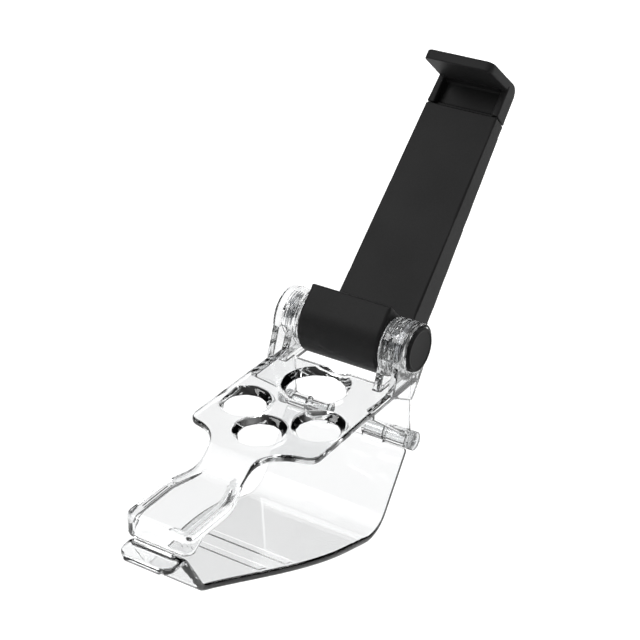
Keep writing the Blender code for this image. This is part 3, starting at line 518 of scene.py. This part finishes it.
outer_outline = outline_of((tower_foot_front, foot_sink), tower_arc, *foot_web,
                           (cheek_back, foot_web_bottom))
band_outline = outline_of(tower_arc, band_arc)
cheek_arc = round_arc((hinge_y, hinge_z), sleeve_radius - sleeve_sink, *sleeve_tangents, 8)
cheek_outline = outline_of((cheek_back, cheek_top), (cheek_front, cheek_top),
                           (cheek_front, cheek_front_bottom), cheek_arc)


def clear_top(x, y, z):
    """Plan and side outline meet; holes and tongue are carved; towers and cheeks are joined on."""
    plan = outline_distance(plan_outline, x, y)
    profile = outline_distance(side_outline, y, z)
    sunk = np.clip((drop_start - y) / (drop_start - drop_end), 0.0, 1.0)
    solid = meet(plan, profile, plate_edge_radius + tongue_edge_gain * sunk)
    hollow = meet(plan + edge_wall, outline_distance(hollow_outline, y, z), hollow_radius)
    solid = carve(solid, hollow, cut_rim_radius)
    notch = np.maximum(span(x, -leg_face, leg_face), plate_back - y)
    solid = carve(solid, notch, cut_rim_radius)
    across = np.hypot(y - axis_y, z - axis_z)
    drum = np.hypot(y - drum_y, z - axis_z)
    hinge = np.hypot(y - hinge_y, z - hinge_z)
    inner_face = outline_distance(inner_outline, y, z)
    outer_face = outline_distance(outer_outline, y, z)
    band_face = outline_distance(band_outline, y, z)
    cheek_face = outline_distance(cheek_outline, y, z)
    for side in (-1.0, 1.0):
        out = side * x
        drum_end = tower_face - face_step if side > 0.0 else left_drum_end
        walls = meet(outer_face, span(out, tower_face - outer_wall, tower_face), wall_edge_radius)
        inner = meet(inner_face, span(out, leg_face, leg_face + inner_wall), wall_edge_radius)
        band = meet(band_face, span(out, leg_face, tower_face), wall_edge_radius)
        tower = join(join(walls, inner, wall_fillet), band, wall_fillet)
        hub = meet(drum - tower_radius + drum_step, span(out, drum_face, drum_end), wall_edge_radius)
        tower = join(tower, hub, small_fillet)
        tower = join(tower, np.maximum(across - boss_radius, span(out, *boss_span)), wall_fillet)
        if side > 0.0:
            cup_slab = span(out, cup_start, tower_face + face_step)
            cup = meet(across - knob_cup_radius, cup_slab, small_fillet)
            tower = join(tower, cup, wall_fillet)
        cheek_slab = span(out, plate_half_width - cheek_thickness, plate_half_width)
        cheek = meet(cheek_face, cheek_slab, wall_edge_radius)
        sleeve_slab = span(out, sleeve_inner, plate_half_width - face_step)
        sleeve = meet(hinge - sleeve_radius, sleeve_slab, wall_fillet)
        cheek = join(cheek, sleeve, wall_fillet)
        solid = join(solid, join(tower, cheek, wall_fillet), wall_edge_radius)
        seat = np.maximum(across - seat_radius, out - seat_floor)
        solid = carve(solid, seat, bore_edge_radius)
        groove = np.maximum(span(across, *groove_radii), out - groove_floor)
        solid = carve(solid, groove, groove_edge_radius)
    solid = carve(solid, across - pivot_bore, small_fillet)
    knob_seat = np.maximum(across - knob_seat_radius, knob_seat_floor - x)
    solid = carve(solid, knob_seat, bore_edge_radius)
    slanted = np.abs(y - axis_y) * hexagon_cosine + np.abs(z - axis_z) * hexagon_sine
    nut = np.maximum(np.abs(z - axis_z), slanted)
    nut_pocket = np.maximum(nut - nut_pocket_apothem, x + nut_pocket_floor)
    solid = carve(solid, nut_pocket, bore_edge_radius)
    solid = carve(solid, hinge - pin_bore, bore_edge_radius)
    for hole_x, hole_y, hole_radius, rim_radius in holes:
        rise = (rim_radius - hole_radius) / (plate_thickness - hole_land)
        angle = np.arctan2(y - hole_y, x - hole_x)
        wave = hole_wave * np.sin(hole_lobes * angle + hole_x) * (
            np.sin(hole_slow_lobes * angle - hole_wave_climb * z))
        radius = hole_radius + wave + rise * np.maximum(z - hole_land, 0.0)
        dish = (np.hypot(x - hole_x, y - hole_y) - radius) / math.hypot(1.0, rise)
        solid = carve(solid, np.maximum(dish, span(z, *hole_cut)), hole_rim_radius)
    return solid


clear_plastic = clear_material("clear_plastic", (0.985, 0.990, 0.992), roughness=0.004, absorption=28.0)
clear_cell = 0.4
top_low = (-21.0, -54.2, -20.2)
top_high = (21.0, 42.6, 18.8)
top_points, top_quads, top_normals = skin(clear_top, top_low, top_high, clear_cell)
clear_top_piece = make_piece("clear_top_moulding", top_points, [top_quads], clear_plastic, "top",
                             ["top_plate"], top_normals)
# The rings cover the left drum's round face: the mask rises from 0 to 1 just below that face.
ring_x, ring_y, ring_z = top_points.T
over_drum = np.hypot(ring_y - drum_y, ring_z - axis_z) - tower_radius
on_drum = np.clip((over_drum + ring_mask_sink) / ring_mask_fade, 0.0, 1.0)
on_drum *= (ring_x < -leg_face) & (ring_z > axis_z - ring_mask_drop)
ring_mask = clear_top_piece.data.attributes.new("ring_mask", "FLOAT", "POINT")
ring_mask.data.foreach_set("value", on_drum.astype(np.float32))

# Clear bottom: one 2 mm band bent round the controller's underside, with a finger tab, a latch bar,
# two grip bars and two knuckles for the hinge pins. It is a moulding of the same polycarbonate.
shell_corners = ((31.0, -20.3), (17.0, -39.2), (-46.4, -20.7), (-52.9, -8.9), (-58.4, -9.2))
shell_bends = (9.0, 3.0, 1.6)
shell_thickness = 2.0
shell_edge_radius = 0.8
shell_front_half_width = 8.5
shell_taper_start = 2.0
shell_taper_power = 1.2
tab_half_width = 8.0
tab_round = 2.6
tab_blend = (0.2, 1.6)
tab_tip = 0.04
latch_half_width = 6.0
latch_depth = (-54.8, -53.7)
latch_height = (-8.6, -6.6)
latch_edge_radius = 0.25
knuckle_radius = 2.3
knuckle_span = (5.5, 12.3)
knuckle_bore = 1.55
neck_half_thickness = 0.98
grip_bars = (-18.95, -27.25)
grip_bar_half_width = 1.45
grip_bar_height = 0.10
grip_bar_flank = 0.9
grip_bar_margin = 1.2
grip_bar_end = 1.0


def bent_path(corners, radii, steps):
    """A polyline whose inner corners are arcs that touch both straight runs."""
    path = [np.array(corners[0])]
    for corner, before, after, radius in zip(corners[1:-1], corners, corners[2:], radii):
        corner = np.array(corner)
        back = (before - corner) / np.hypot(*(before - corner))
        ahead = (after - corner) / np.hypot(*(after - corner))
        half = math.acos(float(back @ ahead)) / 2
        centre = corner + (back + ahead) / np.hypot(*(back + ahead)) * radius / math.sin(half)
        first = corner + back * radius / math.tan(half) - centre
        last = corner + ahead * radius / math.tan(half) - centre
        start = math.atan2(first[1], first[0])
        sweep = (math.atan2(last[1], last[0]) - start + math.pi) % math.tau - math.pi
        angle = start + sweep * np.linspace(0.0, 1.0, steps + 1)
        path.extend(centre + radius * np.column_stack([np.cos(angle), np.sin(angle)]))
    path.append(np.array(corners[-1]))
    return np.array(path)


shell_path = bent_path(shell_corners, shell_bends, 20)


def path_distance(path, u, v):
    """Distance in a plane to the nearest point of an open polyline."""
    nearest = np.full(np.broadcast_shapes(np.shape(u), np.shape(v)), np.inf)
    for (u0, v0), (u1, v1) in zip(path, path[1:]):
        du = u1 - u0
        dv = v1 - v0
        share = np.clip(((u - u0) * du + (v - v0) * dv) / (du * du + dv * dv), 0.0, 1.0)
        nearest = np.minimum(nearest, (u - u0 - share * du) ** 2 + (v - v0 - share * dv) ** 2)
    return np.sqrt(nearest)


def shell_half_width(y):
    """Full width at the back, a raised sine down to the front wall, and the tab's round corners."""
    share = np.clip((y - shell_corners[2][0]) / (shell_taper_start - shell_corners[2][0]), 0.0, 1.0)
    wide = shell_front_half_width + (plate_half_width - shell_front_half_width) * (
        np.sin(np.pi / 2 * share) ** shell_taper_power)
    reach = np.clip(shell_corners[4][0] + tab_round - y, 0.0, tab_round)
    tab = tab_half_width - tab_round + np.sqrt(np.maximum(tab_round ** 2 - reach ** 2, tab_tip))
    blend = np.clip((y - shell_corners[3][0] - tab_blend[0]) / tab_blend[1], 0.0, 1.0)
    return tab + (wide - tab) * blend


def clear_bottom(x, y, z):
    """The band, thicker at the bars, meets its half width; latch and knuckles are joined on."""
    half_width = shell_half_width(y)
    run = np.array(shell_corners[2]) - np.array(shell_corners[1])
    run = run / np.hypot(*run)
    height = (z - shell_corners[1][1]) * -run[0] + (y - shell_corners[1][0]) * run[1]
    inside = np.clip(height / shell_thickness + 0.5, 0.0, 1.0)
    ends = np.clip((half_width - grip_bar_margin - np.abs(x)) / grip_bar_end, 0.0, 1.0)
    flanks = [np.clip((grip_bar_half_width - np.abs(y - place)) / grip_bar_flank + 0.5, 0.0, 1.0)
              for place in grip_bars]
    swell = sum(flank * flank * (3.0 - 2.0 * flank) for flank in flanks)
    band = path_distance(shell_path, y, z) - shell_thickness / 2 - (
        grip_bar_height * swell * inside * ends * ends * (3.0 - 2.0 * ends))
    solid = meet(band, np.abs(x) - half_width, shell_edge_radius)
    latch = meet(span(y, *latch_depth), span(z, *latch_height), latch_edge_radius)
    latch = meet(np.abs(x) - latch_half_width, latch, latch_edge_radius)
    solid = join(solid, latch, wall_fillet)
    hinge = np.hypot(y - hinge_y, z - hinge_z)
    knuckle_slab = span(np.abs(x), *knuckle_span)
    knuckle = meet(hinge - knuckle_radius, knuckle_slab, wall_fillet)
    neck_path = np.array([shell_corners[0], (hinge_y, hinge_z)])
    neck = meet(path_distance(neck_path, y, z) - neck_half_thickness, knuckle_slab, wall_fillet)
    solid = join(solid, join(knuckle, neck, wall_fillet), wall_fillet)
    return carve(solid, hinge - knuckle_bore, bore_edge_radius)


bottom_low = (-20.2, -60.0, -39.4)
bottom_high = (20.2, 35.6, -5.9)
bottom_points, bottom_quads, bottom_normals = skin(clear_bottom, bottom_low, bottom_high, clear_cell)
make_piece("clear_bottom_moulding", bottom_points, [bottom_quads], clear_plastic, "shell",
           ["bottom_shell"], bottom_normals)

# Hinge pins: one on each side, pushed through the cheek's sleeve and the shell's knuckle.
# Each is a clear moulded shaft with a serrated head outside the cheek, a little greyer than the sheet.
pin_radius = 1.25
pin_inner = 4.9
pin_outer = 19.7
pin_head_radius = 2.7
pin_head_length = 1.9
pin_serrations = 20
pin_serration_depth = 0.30
pin_end_radius = 0.3
pin_edge_radius = 0.3
pin_steps = 80


def turned_skin(profile, centre, steps, shrink=None):
    """Surface of revolution about a line along X: (x, y + r cos angle, z + r sin angle).

    The profile is an open run of (x, r) with both ends closed by a flat face. The optional function
    shrink(x, angle) gives how far the radius falls short.
    """
    angle = math.tau * np.arange(steps) / steps
    x = profile[:, :1] + 0.0 * angle
    radius = profile[:, 1:] - (shrink(x, angle) if shrink else 0.0)
    y = centre[0] + radius * np.cos(angle)
    z = centre[1] + radius * np.sin(angle)
    points = np.stack([x, y, z], axis=-1).reshape(-1, 3)
    row = np.arange(len(profile) - 1)[:, None] * steps
    column = np.arange(steps)
    following = (column + 1) % steps
    quads = np.stack([row + column, row + steps + column, row + steps + following,
                      row + following], axis=-1).reshape(-1, 4)
    first = column[None]
    last = ((len(profile) - 1) * steps + column)[None]
    if profile[-1, 0] < profile[0, 0]:
        return points, [quads, first, last[:, ::-1]]
    return points, [quads[:, ::-1], first[:, ::-1], last]


def softened(corners, radius, steps=4):
    """An open run of points whose inner corners become arcs of the given radius."""
    corners = [np.array(corner, dtype=float) for corner in corners]
    run = [corners[0][None]]
    for before, corner, after in zip(corners, corners[1:], corners[2:]):
        back = (before - corner) / np.hypot(*(before - corner))
        ahead = (after - corner) / np.hypot(*(after - corner))
        reach = min(radius, np.hypot(*(before - corner)) * 0.49, np.hypot(*(after - corner)) * 0.49)
        t = np.linspace(0.0, 1.0, steps + 1)[:, None]
        run.append(corner + back * reach * (1 - t) ** 2 + ahead * reach * t ** 2)
    run.append(corners[-1][None])
    return np.vstack(run)


def head_notches(x, angle):
    """Serrations: the radius falls by a rounded wave over the head's length."""
    on_head = np.clip((np.abs(x) - pin_outer - face_step) / face_step, 0.0, 1.0)
    return on_head * pin_serration_depth * (0.5 + 0.5 * np.cos(pin_serrations * angle)) ** 2


pin_plastic = clear_material("clear_pin_plastic", (0.970, 0.975, 0.978), roughness=0.008,
                             absorption=110.0)
for side, side_name in ((-1.0, "left"), (1.0, "right")):
    head_end = pin_outer + pin_head_length
    pin_profile = softened(((pin_inner, pin_end_radius), (pin_inner, pin_radius),
                            (pin_outer, pin_radius), (pin_outer, pin_head_radius),
                            (head_end, pin_head_radius), (head_end, pin_end_radius)),
                           pin_edge_radius)
    pin_points, pin_faces = turned_skin(pin_profile * (side, 1.0), (hinge_y, hinge_z), pin_steps,
                                        head_notches)
    make_piece(f"clear_hinge_pin_{side_name}", pin_points, pin_faces, pin_plastic, "top",
               [f"hinge_pin_{side_name}"])

# Detent discs: clear toothed rings in the towers' drums, which click as the arm tilts.
# They are moulded from the same plastic and keyed by two pegs each.
disc_plastic = clear_material("clear_disc_plastic", (0.92, 0.92, 0.91), roughness=0.03,
                              absorption=260.0)
for side_name in ("left", "right"):
    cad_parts[f"detent_disc_{side_name}"].data.materials.clear()
    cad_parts[f"detent_disc_{side_name}"].data.materials.append(disc_plastic)

# Pivot hardware: bushing in the barrel, clamp screw, hexagon nut in the left tower, and a washer
# with a disc spring under the knob. All are plated steel, turned or stamped.


def plated_steel(name, roughness):
    """Zinc-plated steel: a bright metal whose gloss and tone vary in fine turned lines."""
    material = bpy.data.materials.new(name)
    material.use_nodes = True
    tree = material.node_tree
    shader = tree.nodes["Principled BSDF"]
    shader.inputs["Metallic"].default_value = 1.0
    place = tree.nodes.new("ShaderNodeTexCoord")
    stretch = tree.nodes.new("ShaderNodeMapping")
    stretch.inputs["Scale"].default_value = (9000.0, 900.0, 900.0)
    lines = tree.nodes.new("ShaderNodeTexNoise")
    lines.inputs["Scale"].default_value = 1.0
    gloss = tree.nodes.new("ShaderNodeMapRange")
    gloss.inputs["To Min"].default_value = roughness * 0.7
    gloss.inputs["To Max"].default_value = roughness * 1.4
    tone = tree.nodes.new("ShaderNodeValToRGB")
    tone.color_ramp.elements[0].position = 0.3
    tone.color_ramp.elements[0].color = (0.50, 0.51, 0.53, 1.0)
    tone.color_ramp.elements[1].position = 0.7
    tone.color_ramp.elements[1].color = (0.66, 0.67, 0.69, 1.0)
    tree.links.new(place.outputs["Object"], stretch.inputs["Vector"])
    tree.links.new(stretch.outputs["Vector"], lines.inputs["Vector"])
    tree.links.new(lines.outputs["Fac"], gloss.inputs["Value"])
    tree.links.new(lines.outputs["Fac"], tone.inputs["Fac"])
    tree.links.new(gloss.outputs["Result"], shader.inputs["Roughness"])
    tree.links.new(tone.outputs["Color"], shader.inputs["Base Color"])
    return material


bright_steel = plated_steel("plated_steel", 0.25)
for steel_node in ("pivot_bushing", "clamp_screw", "lock_nut", "knob_washer", "disc_spring"):
    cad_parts[steel_node].data.materials.clear()
    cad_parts[steel_node].data.materials.append(bright_steel)

# Knob: a black moulded cap pressed on the screw's head, sunk in the right tower's cup.
# Its round face stands 0.75 mm proud and is bare.


def black_plastic(name, level, specular, roughness, grain_scale, grain_height):
    """Black moulded plastic whose fine spark-eroded grain is noise in bump and gloss."""
    material = bpy.data.materials.new(name)
    material.use_nodes = True
    tree = material.node_tree
    shader = tree.nodes["Principled BSDF"]
    shader.inputs["Specular IOR Level"].default_value = specular
    place = tree.nodes.new("ShaderNodeTexCoord")
    grain = tree.nodes.new("ShaderNodeTexNoise")
    grain.inputs["Scale"].default_value = grain_scale
    grain.inputs["Detail"].default_value = 4.0
    cloud = tree.nodes.new("ShaderNodeTexNoise")
    cloud.inputs["Scale"].default_value = 60.0
    cloud.inputs["Detail"].default_value = 2.0
    bump = tree.nodes.new("ShaderNodeBump")
    bump.inputs["Strength"].default_value = 0.35
    bump.inputs["Distance"].default_value = grain_height
    gloss = tree.nodes.new("ShaderNodeMapRange")
    gloss.inputs["To Min"].default_value = roughness - 0.05
    gloss.inputs["To Max"].default_value = roughness + 0.07
    tone = tree.nodes.new("ShaderNodeValToRGB")
    tone.color_ramp.elements[0].position = 0.25
    tone.color_ramp.elements[0].color = (level * 0.85, level * 0.85, level * 0.87, 1.0)
    tone.color_ramp.elements[1].position = 0.75
    tone.color_ramp.elements[1].color = (level * 1.15, level * 1.15, level * 1.17, 1.0)
    tree.links.new(place.outputs["Object"], grain.inputs["Vector"])
    tree.links.new(place.outputs["Object"], cloud.inputs["Vector"])
    tree.links.new(grain.outputs["Fac"], bump.inputs["Height"])
    tree.links.new(cloud.outputs["Fac"], gloss.inputs["Value"])
    tree.links.new(grain.outputs["Fac"], tone.inputs["Fac"])
    tree.links.new(tone.outputs["Color"], shader.inputs["Base Color"])
    tree.links.new(gloss.outputs["Result"], shader.inputs["Roughness"])
    tree.links.new(bump.outputs["Normal"], shader.inputs["Normal"])
    return material


knob_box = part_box("knob")
knob_start = knob_box[0][0] / MM
knob_end = knob_box[1][0] / MM
knob_radius = 6.3
knob_step = 0.25
knob_shoulder = (0.9, 0.6)
knob_face_rim = (0.9, 1.1)
knob_face_sink = 0.12
knob_edge_radius = 0.28
knob_steps = 96
knob_lead = 0.5
knob_centre_radius = 0.2
knob_bore = 2.3
screw_pocket_radius = 3.9
screw_pocket = (knob_start + 0.1, knob_start + 2.3)
knob_plastic = black_plastic("knob_plastic", level=0.009, specular=0.08, roughness=0.42,
                             grain_scale=3000.0, grain_height=0.00002)
knob_profile = softened(((screw_pocket[1], knob_centre_radius), (screw_pocket[1], screw_pocket_radius),
                         (screw_pocket[0], screw_pocket_radius), (screw_pocket[0], knob_bore),
                         (knob_start, knob_bore), (knob_start, knob_radius - knob_step),
                         (knob_start + knob_lead, knob_radius),
                         (knob_end - knob_shoulder[0], knob_radius),
                         (knob_end - knob_shoulder[1], knob_radius - knob_step),
                         (knob_end, knob_radius - knob_step),
                         (knob_end, knob_radius - knob_face_rim[0]),
                         (knob_end - knob_face_sink, knob_radius - knob_face_rim[1]),
                         (knob_end - knob_face_sink, knob_centre_radius)), knob_edge_radius)
knob_points, knob_faces = turned_skin(knob_profile, (axis_y, axis_z), knob_steps)
make_piece("black_knob", knob_points, knob_faces, knob_plastic, "knob", ["knob"])

# Arm: barrel, shelf with its low lip and a square sleeve are one black moulding, open at the back.
# Points are given in the arm's frame, with the barrel's axis as origin and Z along the arm.
arm_lean = math.radians(46.8)
barrel_radius = 9.3
barrel_half_length = 12.5
barrel_end_radius = 0.9
arm_edge_radius = 0.3
shelf_height = 6.75
lip_chamfer = 0.4
arm_front = 6.1
arm_top_half_width = 11.25
arm_root_back = 16.0
arm_top_back = 12.0
sleeve_top = 71.4
arm_bottom = -6.6
arm_bottom_radius = 5.0
barrel_bore = 3.0
cavity_half_width = 9.3
cavity_front = 7.7
cavity_bottom = 14.0
cover_half_width = 10.1
cover_bottom = 1.3
cover_thickness = 1.1
cover_gap = 0.3
arm_cut_radius = 0.25
shelf_blend = 1.5
sleeve_blend = 3.0
screw_edge_radius = 0.1


def leaned(points):
    """From the arm's frame to the clip's: turned about the barrel's axis by the lean."""
    x, y, z = points.T
    return np.column_stack([x, axis_y + y * math.cos(arm_lean) + z * math.sin(arm_lean),
                            axis_z - y * math.sin(arm_lean) + z * math.cos(arm_lean)])


def unmoved(points):
    """Directions in the arm's frame, leaned but not moved."""
    return leaned(points) - (0.0, axis_y, axis_z)


def arm_back(z):
    """The sleeve's back face comes forward towards the top."""
    return arm_root_back + (arm_top_back - arm_root_back) * z / sleeve_top


def arm_half_width(z):
    """Half the sleeve's width, which falls evenly from the barrel to the top."""
    return barrel_half_length + (arm_top_half_width - barrel_half_length) * np.maximum(z, 0.0) / (
        sleeve_top)


heel_centre = (float(arm_back(0.0)) - arm_bottom_radius, arm_bottom + arm_bottom_radius)
heel_angle = math.degrees(math.asin(-arm_bottom / barrel_radius))
arm_outline = outline_of(round_arc(heel_centre, arm_bottom_radius, 0.0, -90.0, 16),
                         round_arc((0.0, 0.0), barrel_radius, -heel_angle, -180.0, 72),
                         (-barrel_radius, shelf_height - lip_chamfer),
                         (-barrel_radius + lip_chamfer, shelf_height), (arm_front, shelf_height),
                         (arm_front, sleeve_top), (float(arm_back(sleeve_top)), sleeve_top))


def arm_shape(x, y, z):
    """Side outline and tapered width meet; bore, cavity, cover seat and screw holes are carved."""
    wide = np.abs(x) - arm_half_width(z)
    sleeve = np.clip((z - shelf_height + shelf_blend) / shelf_blend, 0.0, 1.0)
    sleeve = np.maximum(sleeve, np.clip((y - arm_front) / sleeve_blend, 0.0, 1.0))
    edge = barrel_end_radius + (arm_edge_radius - barrel_end_radius) * sleeve
    solid = meet(outline_distance(arm_outline, y, z), wide, edge)
    solid = carve(solid, np.hypot(y, z) - barrel_bore, arm_cut_radius)
    cavity = np.maximum(cavity_front - y, cavity_bottom - z)
    cavity = np.maximum(np.abs(x) - cavity_half_width, cavity)
    solid = carve(solid, cavity, arm_cut_radius)
    seat = np.maximum(arm_back(z) - cover_thickness - cover_gap - y, cover_bottom - cover_gap - z)
    seat = np.maximum(np.abs(x) - cover_half_width - cover_gap, seat)
    solid = carve(solid, seat, bore_edge_radius)
    for screw_x, screw_z, start, radius in arm_holes:
        hole = np.maximum(np.hypot(x - screw_x, z - screw_z) - radius, start - y)
        solid = carve(solid, hole, screw_edge_radius)
    return solid


# Each hole in the arm is given by its x, its z, the y where it starts and its radius.
spring_offset = 6.35
spring_pin_z = 19.0
spring_pin_hole_radius = 0.9
spring_pin_wall = 0.6
cover_screw_offset = 6.5
cover_screw_z = 6.0
cover_screw_tip = 10.37
screw_hole_radius = 1.0
arm_holes = [(side * spring_offset, spring_pin_z, arm_front + spring_pin_wall, spring_pin_hole_radius)
             for side in (-1, 1)]
arm_holes += [(side * cover_screw_offset, cover_screw_z, cover_screw_tip, screw_hole_radius)
              for side in (-1, 1)]
arm_plastic = black_plastic("arm_plastic", level=0.0135, specular=0.14, roughness=0.50,
                            grain_scale=2600.0, grain_height=0.00003)
arm_low = (-13.2, -10.0, -10.2)
arm_high = (13.2, 17.0, 72.2)
arm_cell = 0.5
arm_points, arm_quads, arm_normals = skin(arm_shape, arm_low, arm_high, arm_cell)
make_piece("black_arm", leaned(arm_points), [arm_quads], arm_plastic, "arm", ["arm_body"],
           unmoved(arm_normals))

# Back cover: a flat black plate let into the sleeve's back and held by three screws.
# The upper one also stops the sliding head.


def cover_shape(x, y, z):
    """A slab that follows the sleeve's back face, with a hole for each screw."""
    depth = span(y, arm_back(z) - cover_thickness, arm_back(z))
    face = meet(np.abs(x) - cover_half_width, span(z, cover_bottom, sleeve_top), cover_corner_radius)
    slab = meet(depth, face, cover_edge_radius)
    for screw_x, screw_z in cover_screws:
        slab = carve(slab, np.hypot(x - screw_x, z - screw_z) - screw_hole_radius, screw_edge_radius)
    return slab


cover_corner_radius = 0.3
cover_edge_radius = 0.2
cover_cell = 0.45
stop_screw_z = 52.0
cover_screws = [(0.0, stop_screw_z)]
cover_screws += [(side * cover_screw_offset, cover_screw_z) for side in (-1, 1)]
cover_low = (-10.8, 10.0, 0.6)
cover_high = (10.8, 16.8, 72.2)
cover_points, cover_quads, cover_normals = skin(cover_shape, cover_low, cover_high, cover_cell)
make_piece("black_back_cover", leaned(cover_points), [cover_quads], arm_plastic, "arm",
           ["arm_cover"], unmoved(cover_normals))

# Sliding head: the hook over the phone's upper edge, a pocket under it and a rail in the sleeve
# with a stop slot. It is one black moulding, drawn down by two springs.
head_bottom = 71.7
hook_bottom = 80.0
hook_thickness = 2.9
hook_reach = 13.7
hook_droop_degrees = 7.0
hook_droop = math.radians(hook_droop_degrees)
head_back_radius = 3.0
head_half_width = 10.9
hook_front_half_width = 10.6
hook_corner_radius = 2.2
pocket_half_width = 9.2
pocket_depth = 2.8
rail_half_width = 3.4
rail_front = 7.95
rail_back = 10.15
rail_bottom = 26.0
shoulder_bottom = 60.0
shoulder_half_width = 9.05
slot_half_width = 1.2
slot_low = 34.8
slot_high = 53.2
taper_height = 12.0
head_foot_edge = 0.25
hook_edge_gain = 0.2
edge_gain_height = 2.0
pocket_top_radius = 0.8
pocket_corner_radius = 0.4
rail_edge_radius = 0.25
rail_overlap = 1.0
pocket_overlap = 1.0
plan_margin = (2.0, 4.0)
plan_side = arm_top_half_width + plan_margin[0]
plan_step = 0.5
head_cell = 0.45


def hook_under(y):
    """Height of the hook's underside, which falls evenly towards its free edge."""
    return hook_bottom + (y - arm_front) * math.tan(hook_droop)


hook_lift = hook_thickness / math.cos(hook_droop)
hook_front = arm_front - hook_reach
back_y = arm_top_back - head_back_radius
back_z = hook_under(back_y) + hook_lift - head_back_radius / math.cos(hook_droop)
head_outline = outline_of((arm_front, head_bottom), (arm_front, hook_bottom),
                          (hook_front, hook_under(hook_front)),
                          (hook_front, hook_under(hook_front) + hook_lift),
                          round_arc((back_y, back_z), head_back_radius,
                                    90.0 + hook_droop_degrees, 0.0, 20),
                          (arm_top_back, head_bottom))
hook_corner = (hook_front_half_width - hook_corner_radius, hook_front + hook_corner_radius)
plan_right = np.vstack([(plan_side, arm_top_back + plan_margin[1]),
                        (plan_side, arm_front + plan_step), (head_half_width, arm_front),
                        round_arc(hook_corner, hook_corner_radius, 0.0, -90.0, 12)])
head_plan = outline_of(plan_right, plan_right[::-1] * (-1.0, 1.0))


def head_shape(x, y, z):
    """Side outline, plan and taper meet; the pocket is carved; rail and shoulders are joined."""
    rise = np.clip((z - head_bottom) / taper_height, 0.0, 1.0)
    wide = np.abs(x) - arm_top_half_width + (arm_top_half_width - head_half_width) * rise
    around = np.maximum(wide, outline_distance(head_plan, x, y))
    edge = head_foot_edge + hook_edge_gain * np.clip((z - head_bottom) / edge_gain_height, 0.0, 1.0)
    solid = meet(outline_distance(head_outline, y, z), around, edge)
    pocket = span(y, arm_front - pocket_overlap, arm_front + pocket_depth)
    pocket = meet(pocket, z - hook_bottom, pocket_top_radius)
    pocket = meet(pocket, np.abs(x) - pocket_half_width, pocket_corner_radius)
    solid = carve(solid, pocket, arm_cut_radius)
    lane = span(y, rail_front, rail_back)
    rail_top = head_bottom + rail_overlap
    rail = np.maximum(np.abs(x) - rail_half_width, span(z, rail_bottom, rail_top))
    shoulder = np.maximum(np.abs(x) - shoulder_half_width, span(z, shoulder_bottom, rail_top))
    rail = meet(np.minimum(rail, shoulder), lane, rail_edge_radius)
    solid = join(solid, rail, wall_fillet)
    slot = np.hypot(x, z - np.clip(z, slot_low + slot_half_width, slot_high - slot_half_width))
    return carve(solid, slot - slot_half_width, bore_edge_radius)


head_low = (-11.9, -8.4, 25.4)
head_high = (11.9, 12.8, 85.2)
head_points, head_quads, head_normals = skin(head_shape, head_low, head_high, head_cell)
make_piece("black_sliding_head", leaned(head_points), [head_quads], arm_plastic, "head",
           ["slider_head"], unmoved(head_normals))

# Arm hardware: two coiled springs that draw the head down, the pins through their lower loops, and
# the three screws of the back cover. All are plated steel, and the cover hides the springs.
for steel_node in ("spring_left", "spring_right", "spring_pin_left", "spring_pin_right",
                   "stop_screw", "cover_screw_left", "cover_screw_right"):
    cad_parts[steel_node].data.materials.clear()
    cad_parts[steel_node].data.materials.append(bright_steel)
